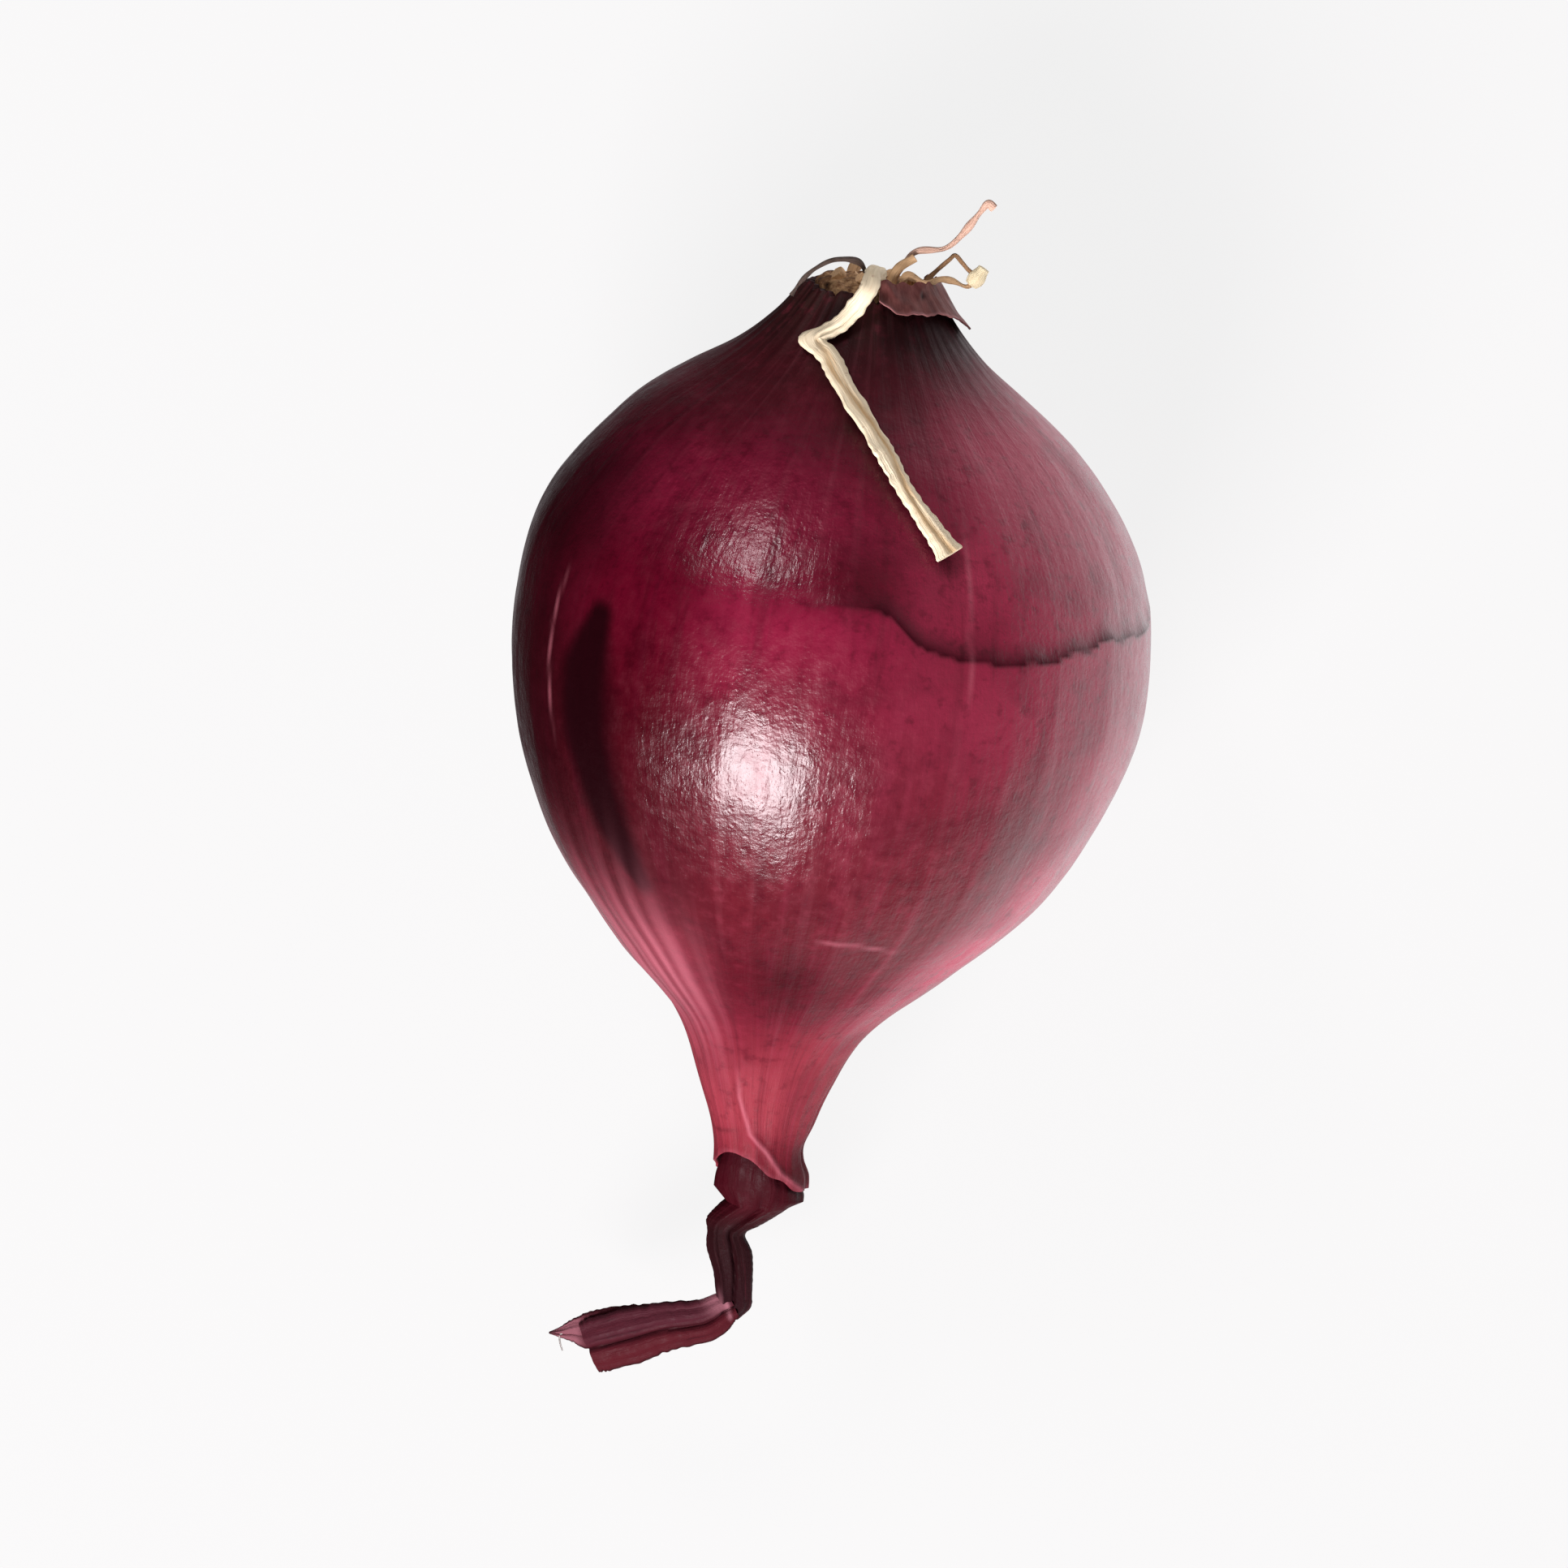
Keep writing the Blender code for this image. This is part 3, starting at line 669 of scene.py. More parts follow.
def painted_right_light(share, degrees):
    """Painted light from the right: where the skin is lighter and pinker down the right side and its
    right edge.
    """
    upper = up_from(degrees, 4.0, 40.0) * down_to(share, 0.52, 0.28)
    edge_start = 44.0 - 90.0 * np.clip(share - 0.55, 0.0, 0.25)
    edge = up_from(degrees, edge_start, 34.0) * down_to(share, 0.86, 0.20)
    return np.maximum(0.95 * upper, edge) * down_to(degrees, 150.0, 40.0) * up_from(share, 0.05, 0.10)


def painted_sheen(share, angle, degrees):
    """Painted sheen on the skin: a pale reflection, in streaks."""
    uneven = 0.85 + 0.30 * streaks(angle, share, 12, 70, seed=17, terms=14)
    return np.clip(uneven, 0.4, 1.3) * sum(
        strength * window(degrees, *side) * hump(share, middle, reach)
        for strength, side, middle, reach in PAINTED_SHEENS
    )


def facets(angle, share):
    """Flat strips between the leaf veins, as on a skin that dried tight."""
    total = np.zeros_like(angle)
    for count, depth, start in FACETS:
        wave = np.sin(0.5 * count * angle + start + 0.5 * np.sin(5.0 * share + count))
        total = total - depth * MM * np.sqrt(wave * wave + 0.004)
    return total * np.sin(math.pi * np.clip(share, 0.0, 1.0)) ** 0.7


def ragged_grid():
    """Lengths and angles of the skin's points: closer rings at both ends, which are ragged and torn."""
    s = np.linspace(0.0, 1.0, SKIN_ROWS)
    lengths = BULB_LENGTH * (0.65 * s + 0.35 * (0.5 - 0.5 * np.cos(math.pi * s)))
    angles = np.linspace(-math.pi, math.pi, SKIN_COLUMNS, endpoint=False)
    along, angle = np.meshgrid(lengths, angles, indexing="ij")
    ragged_root = 0.08 * MM * streaks(angle, 0.0, 5, 40, seed=9, terms=12)
    along = along + ragged_root * down_to(along, 0.8 * MM, 0.8 * MM)
    ragged_neck = 0.03 * MM * streaks(angle, 0.0, 3, 12, seed=12, terms=8) - 0.05 * MM
    along = along + ragged_neck * up_from(along / BULB_LENGTH, 0.93, 0.07)
    along = along - rim_tear(angle) * up_from(along, RIM_TEAR_START, BULB_LENGTH - RIM_TEAR_START)
    return along, angle


def fine_lift(along, angle, share, veins):
    """Lift of the skin by its veins, flat strips, pinch, lumps and folds."""
    girth = skin_radius(along, angle) / (BULB_DIAMETER / 2)
    lift = VEIN_HEIGHT * veins * np.sqrt(girth) + facets(angle, share) + neck_pinch(along, angle)
    base = off_skin(along, angle, 0.0)
    for size, height, seed in SKIN_LUMPS:
        lift = lift + height * MM * lumps(base, size * MM, seed)
    neck_folds = streaks(angle, share, 5, 24, seed=3, terms=14, wander=0.6)
    root_folds = streaks(angle, share, 10, 44, seed=4, terms=16, wander=0.4)
    lift = lift + NECK_FOLDS_HEIGHT * neck_folds * up_from(share, 0.74, 0.12)
    return lift + ROOT_FOLDS_HEIGHT * root_folds * down_to(share, 0.14, 0.12)


def make_skin(material):
    """The whole skin with its relief, from the dish at the root end to the mouth of the neck."""
    along, angle = ragged_grid()
    angles = angle[0]
    share = along / BULB_LENGTH
    degrees = np.degrees(turned(angle))
    veins = up_from(streaks(angle, share, 26, 75, seed=5, wander=0.8), 0.55, 1.1)
    crease_lift, crease_shade = crease_marks(along, angle)
    fold_lift, fold_pale, patch_shade = neck_marks(along, angle)
    lift = crease_lift + fold_lift + fine_lift(along, angle, share, veins) - SKIN_INSET

    dish = [round_axis(DISH_DEPTH * deep, DISH_RADIUS * wide, angles) for deep, wide in DISH_RINGS]
    dish.append(round_axis(along[0] + 0.02 * MM, DISH_RADIUS, angles))
    mouth = [
        round_axis(along[-1] - back * MM, MOUTH_RADIUS - narrower * MM, angles)
        for back, narrower in MOUTH_RINGS
    ]
    rings = np.concatenate([dish, off_skin(along, angle, lift), mouth])
    rings[..., 2] = np.maximum(rings[..., 2], 0.0)
    added = ((len(dish), len(mouth)), (0, 0))

    def spread(values):
        """Values of the skin, with those of its first and last ring in the dish and the mouth."""
        return np.pad(values, added, mode="edge")

    # Painted shade round the crease, under the neck fold's edge, low on the left, by the long root and
    # under the scrap, and the painted dark reflection
    dark = 0.85 * crease_shade + patch_shade + 0.95 * dark_reflection_strength(along, angle)
    left_painted_shade = window(degrees, *SHADE_SIDE) * window(share, *SHADE_LENGTH)
    dark = np.maximum.reduce([dark, 0.7 * left_painted_shade, root_end_shade(along, angle, degrees)])
    dark = np.pad(np.clip(dark, 0.0, 0.95), added)
    # Painted shade inside the dish and the mouth
    dark[:len(dish)] = DISH_PAINTED_SHADE
    dark[1 - len(mouth):] = MOUTH_PAINTED_SHADE
    # Paleness: fine lines, the neck fold, the rim, and the painted sheen
    rim = 0.15 * smooth_step(share / 0.004) * hump(along, along[-1:], 0.12 * MM)
    pale = pale_lines(along, angle) + fold_pale + rim + painted_sheen(share, angle, degrees)
    around = spread(angle)
    return ring_piece(
        "skin", rings, material,
        meridian=np.stack([np.cos(around), np.sin(around), spread(share) * 8.0], axis=-1),
        share=np.clip(spread(share), 0.0, 1.0), veins=spread(veins), dark=dark,
        deep=spread(deep_red_and_painted_shade(along, share, degrees)), rosy=spread(painted_right_light(share, degrees)),
        pale=np.pad(np.clip(pale, 0.0, 1.0), added),
    )


# Bars along routes, for roots and the leaf

def smooth_route(points, steps):
    """Points along a smooth curve through the given rows of numbers."""
    rows = np.array(points, float)
    padded = np.concatenate([[2 * rows[0] - rows[1]], rows, [2 * rows[-1] - rows[-2]]])
    s = (np.arange(steps) / steps)[:, None]
    parts = [
        b + 0.5 * ((c - a) * s + (2 * a - 5 * b + 4 * c - d) * s ** 2 + (3 * b - a - 3 * c + d) * s ** 3)
        for a, b, c, d in zip(padded, padded[1:], padded[2:], padded[3:])
    ]
    return np.concatenate([*parts, rows[-1:]])


def frames_along(route, normals):
    """Directions across and up, square to a route at each of its points."""
    ahead = np.gradient(route, axis=0)
    ahead /= np.linalg.norm(ahead, axis=1, keepdims=True)
    across = np.cross(normals, ahead)
    across /= np.linalg.norm(across, axis=1, keepdims=True)
    return across, np.cross(ahead, across)


def bar_rings(route, frames, half_widths, half_depths, sides):
    """Rings of a bar along a route, and the angle of each column."""
    across, rise = frames
    turns = np.linspace(0.0, TURN, sides, endpoint=False)
    wide = across[:, None, :] * (half_widths[:, None] * np.sin(turns))[..., None]
    deep = rise[:, None, :] * (half_depths[:, None] * np.cos(turns))[..., None]
    return route[:, None, :] + wide + deep, turns


def distances(route):
    """How far along a route each of its points is, in millimetres."""
    return np.cumsum(np.linalg.norm(np.diff(route, axis=0, prepend=route[:1]), axis=1)) / MM


def lane_vectors(route, turns, stretch, seed):
    """Texture positions that run along a bar: round it, and slowly along it."""
    parts = (np.sin(turns) * 3.0 + seed, np.cos(turns) * 3.0, distances(route)[:, None] * stretch)
    return np.stack(np.broadcast_arrays(*parts), axis=-1)


def carried_normals(route, start):
    """A direction square to the route at each point, carried along it without twisting."""
    normals = [np.array(start, float)]
    for before, after in zip(route, route[1:]):
        ahead = (after - before) / np.linalg.norm(after - before)
        normals.append(normals[-1] - ahead * normals[-1].dot(ahead))
    return np.array(normals)


# The long pale root, near the solid's and flatter: it bends up out of the plate, then lies over the
# shoulder. Lengths along the axis, to the side and up, in mm
LONG_ROOT_BEND = (
    (0.25, 0.10, 1.00), (-0.50, 0.10, 1.15), (-0.85, 0.08, 1.70), (-0.80, -0.05, 2.35),
    (-0.30, -0.15, 2.90),
)
LONG_ROOT_BEND_CENTRE = (0.0, 0.0, 1.95)
# Lengths along the axis and distances to the side, in mm
LONG_ROOT_ON_SKIN = (
    (0.95, -0.72), (1.62, -1.45), (2.05, -1.00), (2.70, -0.52), (3.67, 0.42), (4.33, 1.05),
    (5.15, 1.75), (6.02, 2.62), (6.74, 3.32),
)
LONG_ROOT_HALF_WIDTHS = (
    0.26, 0.27, 0.27, 0.28, 0.30, 0.30, 0.30, 0.34, 0.34, 0.33, 0.33, 0.30, 0.36, 0.48,
)
LONG_ROOT_LIFT = 0.32 * MM
LONG_ROOT_HALF_DEPTH = 0.15 * MM
LONG_ROOT_GROOVE = 0.055 * MM
LONG_ROOT_RIB = 0.016 * MM
LONG_ROOT_KNEE = 6
LONG_ROOT_SPUR = 0.32 * MM
LONG_ROOT_STEPS = 16
LONG_ROOT_SIDES = 32


def angle_on_skin(along, sideways):
    """Angle of a spot on the upper side of the skin, given in millimetres."""
    return math.asin(sideways * MM / float(skin_radius(along * MM, 0.0)))


def long_root_rows():
    """Place, upper side and half width at each point of the long root."""
    bend = listed_places(LONG_ROOT_BEND)
    out = bend - listed_places([LONG_ROOT_BEND_CENTRE])
    out /= np.linalg.norm(out, axis=1, keepdims=True)
    rows = [(*spot, *up) for spot, up in zip(bend, out)]
    for along, sideways in LONG_ROOT_ON_SKIN:
        foot, above = (off_skin(along * MM, angle_on_skin(along, sideways), lift) for lift in (0.0, MM))
        up = (above - foot) / MM
        rows.append((*(foot + up * LONG_ROOT_LIFT), *up))
    return [(*row, width * MM) for row, width in zip(rows, LONG_ROOT_HALF_WIDTHS)]


def make_long_root(material):
    """Flat dried root with jagged edges, a groove, and a spur at its knee."""
    smooth = smooth_route(long_root_rows(), LONG_ROOT_STEPS)
    route, normals, widths = smooth[:, :3], smooth[:, 3:6], smooth[:, 6]
    steps = np.arange(len(route))
    draw = np.random.default_rng(21)
    wobble = mean_waves(draw, steps, 0.05, 0.5, 6)
    jags = mean_waves(draw, steps, 0.5, 1.4, 6)
    widths = widths * (1.0 + 0.14 * wobble + 0.16 * jags)
    depths = LONG_ROOT_HALF_DEPTH * (1.0 + 0.25 * np.roll(wobble, 7))
    across, rise = frames_along(route, normals)
    rings, turns = bar_rings(route, (across, rise), widths, depths, LONG_ROOT_SIDES)
    share = np.sin(turns)[None, :]
    upper = np.clip(np.cos(turns), 0.0, 1.0)[None, :]
    down = steps[:, None] / steps[-1]
    lane = share - 0.10 - 0.28 * np.sin(19.0 * down)
    ribs = LONG_ROOT_RIB * np.sin(9.0 * share + 5.0 * down)
    lift = (ribs - LONG_ROOT_GROOVE * hump(lane, 0.0, 0.22)) * upper
    knee = hump(steps[:, None], LONG_ROOT_KNEE * LONG_ROOT_STEPS, 3.0)
    spur = LONG_ROOT_SPUR * knee * smooth_step((-share - 0.5) / 0.5)
    rings = rings + rise[:, None, :] * lift[..., None] - across[:, None, :] * spur[..., None]
    return ring_piece(
        "long_root", rings, material, lane=lane_vectors(route, turns, 0.5, 3.0),
        worn=hump(lane, 0.0, 0.40) * up_from(down, 0.42, 0.14) * upper,
    )


# Roots that stand off the plate, near the solid's: look, radius in mm, how much of it is lost at
# the tip, and route as lengths along the axis, to the side and up, in mm
ROOTLETS = (
    ("pink", 0.08, -0.6, (
        (0.00, 0.50, 0.35), (-1.02, 0.90, 0.60), (-1.49, 1.24, 0.70), (-1.69, 2.07, 0.75),
        (-2.16, 2.54, 0.80), (-2.96, 3.03, 0.85), (-3.30, 3.26, 0.85), (-3.18, 3.46, 0.80),
    )),
    ("brown", 0.09, 0.2, (
        (0.00, 1.20, 0.40), (-0.86, 1.88, 0.42), (-1.32, 2.28, 0.45), (-1.48, 2.45, 0.40),
        (-1.27, 2.70, 0.40), (-1.07, 2.92, 0.40), (-0.90, 3.18, 0.42),
    )),
    ("dark", 0.10, 0.3, (
        (0.00, -0.10, 0.75), (-0.90, -0.45, 1.00), (-1.00, -1.24, 1.48), (-0.66, -1.85, 1.68),
        (-0.20, -2.25, 1.74), (0.28, -2.50, 1.78),
    )),
    ("golden", 0.13, 0.3, (
        (0.00, 0.80, 0.85), (-0.70, 1.02, 0.90), (-0.52, 1.63, 0.92), (-0.70, 2.06, 0.80),
        (-0.68, 2.46, 0.60), (-0.55, 2.95, 0.50), (-0.85, 3.18, 0.45),
    )),
    ("golden", 0.18, 0.3, ((0.00, 0.50, 0.80), (-0.82, 0.67, 0.90), (-1.30, 1.20, 0.88))),
    ("yellow", 0.25, 0.1, ((-0.62, 3.06, 0.42), (-0.86, 3.22, 0.44), (-1.18, 3.40, 0.45))),
)
ROOTLET_KNOB_SEED = 30


def root_bar(name, points, radius, taper, seed, material):
    """Thin dried root along a smooth route, knobbly and tapering."""
    route = smooth_route(points, 12)
    reach = distances(route)
    knobs = mean_waves(np.random.default_rng(seed), reach, 1.5, 9.0, 5)
    radii = radius * (1.0 + 0.5 * knobs) * (1.0 - taper * reach / reach[-1])
    frames = frames_along(route, carried_normals(route, UPWARD + SIDEWAYS * 0.4))
    rings, turns = bar_rings(route, frames, radii, radii * 0.75, 12)
    return ring_piece(name, rings, material, lane=lane_vectors(route, turns, 1.2, seed))


def make_rootlets(looks):
    return [
        root_bar(
            f"rootlet_{i}", listed_places(points), radius * MM, taper, ROOTLET_KNOB_SEED + i, looks[look]
        )
        for i, (look, radius, taper, points) in enumerate(ROOTLETS)
    ]


STUB_COUNT = 15
STUB_SEED = 11
STUB_KNOB_SEED = 60
STUB_LENGTHS = (0.1 * MM, 0.45 * MM)
STUB_RADII = (0.26 * MM, 0.36 * MM)
STUB_BEND = 0.25 * MM
STUB_SPREAD = 0.2 * MM
STUB_REACH = (DISH_RADIUS - 0.2 * MM) * 0.78


def make_stubs(material):
    """Short broken roots over the plate, in the places of the solid's."""
    draw = random.Random(STUB_SEED)
    golden_angle = math.pi * (3 - math.sqrt(5))
    pieces = []
    for i in range(STUB_COUNT):
        radius = STUB_REACH * math.sqrt((i + 0.5) / STUB_COUNT)
        angle = golden_angle * i
        length = draw.uniform(*STUB_LENGTHS)
        thick = draw.uniform(*STUB_RADII) * 0.8
        bend = draw.uniform(-STUB_BEND, STUB_BEND)
        along = np.array([DISH_DEPTH * 0.3, -PLATE_PROUD - length * 0.5, -PLATE_PROUD - length])
        out = radius + STUB_SPREAD * np.array([0.0, 0.3, 1.0])
        sideways = out * math.sin(angle) + bend * np.array([0.0, 0.0, 1.0])
        route = places(along, sideways, out * math.cos(angle))
        pieces.append(root_bar(f"stub_{i}", route, thick, 0.3, STUB_KNOB_SEED + i, material))
    return pieces


# Section of the plate from its back over its edge to its face: length in mm, share of its radius
PLATE_SECTION = (
    (0.50, 0.20), (0.50, 0.86), (0.30, 1.00), (0.00, 1.00), (-0.18, 0.96), (-0.32, 0.80),
    (-0.42, 0.45), (-0.45, 0.12),
)
PLATE_COLUMNS = 120


def make_plate(material):
    """Corky disc with a rough domed face."""
    angles = np.linspace(-math.pi, math.pi, PLATE_COLUMNS, endpoint=False)
    along, radius = (smooth_route(PLATE_SECTION, 8) * (MM, PLATE_RADIUS)).T[..., None]
    points = round_axis(along, radius, angles)
    rough = lumps(points, 0.45 * MM, 6) * 0.12 * MM + lumps(points, 0.2 * MM, 7) * 0.06 * MM
    face = down_to(along, 0.1 * MM, 0.2 * MM)
    return ring_piece("corky_plate", round_axis(along - rough * face, radius, angles), material)


# The scrap of torn skin round one side of the plate. Angles are in degrees, lengths in mm
SCRAP_ANGLES = (6.0, 128.0)
SCRAP_COLUMNS = 190
SCRAP_ROWS = 26
SCRAP_TOP = -0.45
SCRAP_LIP = (
    (6.0, 0.20), (16.0, 0.47), (30.0, 0.54), (49.0, 0.49), (68.0, 0.64), (84.0, 1.03), (105.0, 0.95),
    (128.0, 0.30),
)
SCRAP_SHEET = 0.07 * MM
# Soft folds across it: angle, width, slant and height
SCRAP_FOLDS = (
    (20.0, 8.0, 26.0, 0.08), (36.0, 5.0, -24.0, 0.08), (60.0, 12.0, 8.0, 0.05), (84.0, 8.0, -8.0, 0.07),
    (110.0, 9.0, 6.0, 0.06),
)
# A small hole, a dent painted dark for the shade in it: angle and spread, share of the way down and
# reach
SCRAP_HOLE = (43.0, 2.6, 0.42, 0.10)


def make_scrap(material):
    """Thin sheet with a few soft folds, curled at its ragged lip, closed with an under side."""
    degrees = np.linspace(*SCRAP_ANGLES, SCRAP_COLUMNS)[None, :]
    angle = np.radians(degrees)
    down = np.linspace(0.0, 1.0, SCRAP_ROWS)[:, None]
    ragged = 0.030 * np.sin(0.31 * degrees + 1.0) + 0.012 * np.sin(0.83 * degrees)
    depth = curve_value(SCRAP_LIP, degrees) + ragged - SCRAP_TOP
    along = (SCRAP_TOP + depth * down + 0.05 * np.sin(0.4 * degrees) * (1.0 - down)) * MM
    lift = 0.10 * MM + 0.16 * MM * down ** 2.5 * (1.0 - 0.8 * up_from(degrees, 88.0, 26.0))
    for middle, width, slant, height in SCRAP_FOLDS:
        lift = lift + height * MM * hump(degrees - slant * (down - 0.5), middle, width)
    hole_angle, hole_spread, hole_down, hole_reach = SCRAP_HOLE
    hole = hump(degrees, hole_angle, hole_spread) * hump(down, hole_down, hole_reach)
    lift = lift - 0.05 * MM * hole
    lift = lift + 0.03 * MM * lumps(off_skin(along, angle, lift), 0.5 * MM, 8)
    sheet = [off_skin(along, angle, lift + SCRAP_SHEET), off_skin(along, angle, lift)[::-1]]
    both = np.concatenate([down, down[::-1]])
    lane = np.stack(np.broadcast_arrays(0.16 * degrees, 1.2 * both, 0.0), axis=-1)
    lip = up_from(both, 0.90, 0.07) * (0.75 + 0.25 * np.sin(0.23 * degrees))
    return ring_piece(
        "torn_skin_scrap", np.concatenate(sheet).transpose(1, 0, 2), material,
        lane=lane.transpose(1, 0, 2), pale=lip.T,
        # Painted shade in the small hole
        dark=0.95 * np.concatenate([hole, np.zeros_like(hole)]).T,
    )


# The withered leaf in its plies, finer than the solid's folded bar, in mm. The collar in the neck's
# mouth and rim: past the neck's end, radius
COLLAR = ((-1.75, 1.00), (-1.20, 1.06), (-0.20, 1.26), (0.12, 1.43), (0.42, 1.45))
# Then past the neck's end, to the side, up, half width and half depth
STRAP = (
    (0.62, 0.04, 0.00, 1.04, 0.85), (1.00, -0.33, 0.00, 0.99, 0.62), (1.36, -0.65, -0.02, 0.87, 0.46),
    (1.72, -0.83, -0.06, 0.62, 0.36), (2.36, -0.66, -0.25, 0.74, 0.28), (3.14, -0.46, -0.50, 0.65, 0.25),
    (3.82, -0.36, -0.78, 0.60, 0.22), (4.40, -0.30, -1.03, 0.56, 0.17), (4.90, -0.52, -1.18, 0.42, 0.11),
)
FRONT_PLY = (
    (4.38, -0.28, -0.98, 0.42, 0.10), (4.58, -0.62, -0.98, 0.60, 0.14), (5.04, -1.20, -1.05, 0.73, 0.18),
    (5.46, -2.40, -1.26, 0.82, 0.20), (5.96, -3.40, -1.50, 0.94, 0.20), (6.44, -4.35, -1.76, 0.94, 0.18),
    (6.66, -4.75, -1.86, 0.90, 0.15),
)
BACK_PLY = (
    (4.95, -1.00, -1.36, 0.55, 0.12), (5.40, -2.40, -1.56, 0.66, 0.12), (5.65, -3.30, -1.72, 0.68, 0.11),
    (5.94, -4.20, -1.88, 0.70, 0.10), (6.14, -4.90, -1.96, 0.60, 0.09), (6.20, -5.30, -1.98, 0.42, 0.08),
    (6.30, -5.70, -1.99, 0.20, 0.06), (6.37, -6.10, -2.00, 0.03, 0.03),
)
FIBRE = ((6.20, -5.60, -1.95), (6.42, -5.74, -1.98), (6.68, -5.70, -2.02), (6.92, -5.60, -2.05))
# Folds along each ply: middle, width, height in mm, and how far each wanders
STRAP_FOLDS = ((-0.55, 0.16, 0.10, 0.10), (0.05, 0.10, -0.13, 0.18), (0.45, 0.14, 0.07, 0.12))
FRONT_FOLDS = (
    (-0.80, 0.10, 0.05, 0.02), (-0.40, 0.20, 0.09, 0.03), (0.06, 0.07, -0.12, 0.05),
    (0.50, 0.22, 0.07, 0.04),
)
BACK_FOLDS = ((-0.35, 0.25, 0.06, 0.05), (0.30, 0.10, -0.05, 0.05))
# Fine ribs on all plies: count and height in mm
LEAF_RIBS = ((9.0, 0.012), (21.0, 0.006))
LEAF_SIDES = 96
LEAF_STEPS = 16
LEAF_CREASE = 50.0


def ply_rings(table, folds, seed, jag=0.03, level=False):
    """Rings of one ply with its folds, its route and turns, and the shares across and along it.

    Level rings are square to the neck instead of to the ply's own route.
    """
    sizes = np.array(table)[:, 3:] * MM
    smooth = smooth_route(np.column_stack([listed_places(table, BULB_LENGTH), sizes]), LEAF_STEPS)
    route, widths, depths = smooth[:, :3], smooth[:, 3], smooth[:, 4]
    steps = np.arange(len(route))
    draw = np.random.default_rng(seed)
    widths = widths * (1.0 + 2.0 * jag * mean_waves(draw, steps, 0.2, 1.5, 8))
    guide = steps[:, None] * np.array(ALONG) if level else route
    across, rise = frames_along(guide, np.broadcast_to(np.array(UPWARD), route.shape))
    rings, turns = bar_rings(route, (across, rise), widths, depths, LEAF_SIDES)
    share = np.sin(turns)[None, :]
    reach = steps[:, None] / steps[-1]
    side = np.where(np.cos(turns) > 0.0, 1.0, 0.4) * np.abs(np.cos(turns)) ** 0.5
    push = np.zeros((len(route), LEAF_SIDES))
    for middle, width, height, wander in folds:
        line = middle + wander * np.sin(4.0 * reach + 7.0 * middle)
        push = push + height * MM * hump(share, line, width)
    for count, height in LEAF_RIBS:
        push = push + height * MM * np.sin(count * share + draw.uniform(0, TURN) + 2.5 * reach)
    return rings + rise[:, None, :] * (push * side)[..., None], route, turns, share, reach


def ply_piece(name, rings, route, turns, seed, material, **marks):
    lane = lane_vectors(route, turns, 0.35, seed)
    return ring_piece(name, rings, material, LEAF_CREASE, lane=lane, **marks)


def collar_rings(turns):
    """Round rings that follow the torn rim of the neck, with soft gathers."""
    first, rim, end = COLLAR[0][0], COLLAR[2][0], COLLAR[-1][0]
    rings = []
    for past, radius in smooth_route(COLLAR, 8)[:-1]:
        beyond = up_from(past, rim, end - rim)
        follow = up_from(past, first, rim - first) - 0.7 * beyond
        length = BULB_LENGTH + past * MM - follow * rim_tear(turns)
        gathers = 0.02 * np.sin(5 * turns + past) + 0.015 * np.sin(9 * turns)
        gathers = gathers + 0.010 * np.sin(17 * turns + 2.0)
        wide = radius * (1.0 + gathers * up_from(past, -0.6, 0.6)) * MM
        rings.append(places(length, wide * np.sin(turns), wide * np.cos(turns) * (1.0 - 0.25 * beyond)))
    return np.stack(rings)


def make_strap(material):
    """Collar in the rim of the neck, and the strap that it narrows to."""
    strap, route, turns, share, down = ply_rings(STRAP, STRAP_FOLDS, 41, 0.01, level=True)
    collar = collar_rings(turns)
    whole = np.concatenate([collar.mean(axis=1), route])
    reach = np.concatenate([np.linspace(0.0, 0.2, len(collar))[:, None], 0.2 + 0.38 * down])
    upper = np.cos(turns) > 0.0
    # Painted shade along the strap's crease
    crease = hump(share, 0.05, 0.12) * upper * up_from(reach, 0.24, 0.1)
    sheen = hump(share, -0.75, 0.14) * upper * up_from(reach, 0.46, 0.08)
    return ply_piece(
        "withered_strap", np.concatenate([collar, strap]), whole, turns, 8.0, material,
        reach=reach, pale=0.35 * sheen, dark=0.7 * crease,
    )


def make_front_ply(material):
    """Upper ply of the folded strip: two ridges with a crease, cut straight at its end."""
    rings, route, turns, share, down = ply_rings(FRONT_PLY, FRONT_FOLDS, 42)
    upper = np.cos(turns) > 0.0
    # Painted shade along the crease
    crease = hump(share, 0.06, 0.07) * upper
    edge = up_from(np.abs(share), 0.86, 0.1)
    # Painted highlights: on the fold at the strip's end, and on its upper part
    fold = hump(down - 0.03 * share, 0.10, 0.035) * upper * down_to(share, 0.9, 0.4)
    painted_highlight = hump(down, 0.17, 0.09) * upper * down_to(share, 0.2, 0.4)
    return ply_piece(
        "withered_front_ply", rings, route, turns, 12.0, material,
        reach=0.66 + 0.30 * up_from(share, -0.3, 0.7) + 0.04 * down,
        pale=np.clip(0.50 * fold + 0.40 * painted_highlight, 0.0, 1.0), dark=0.65 * crease + 0.6 * edge,
    )


def make_back_ply(material):
    """Under ply of the strip, which ends in a point."""
    rings, route, turns, share, down = ply_rings(BACK_PLY, BACK_FOLDS, 43, 0.04)
    edge = up_from(np.abs(share), 0.80, 0.15)
    return ply_piece(
        "withered_back_ply", rings, route, turns, 16.0, material, reach=np.full((1, 1), 0.8),
        pale=0.42 * up_from(down, 0.55, 0.15) * (1.0 - edge), dark=0.5 * edge,
    )


def make_fibre(material):
    """Loose grey fibre at the torn end."""
    return root_bar("loose_fibre", listed_places(FIBRE, BULB_LENGTH), 0.035 * MM, 0.3, 90, material)


# The stage: floor, lights and camera

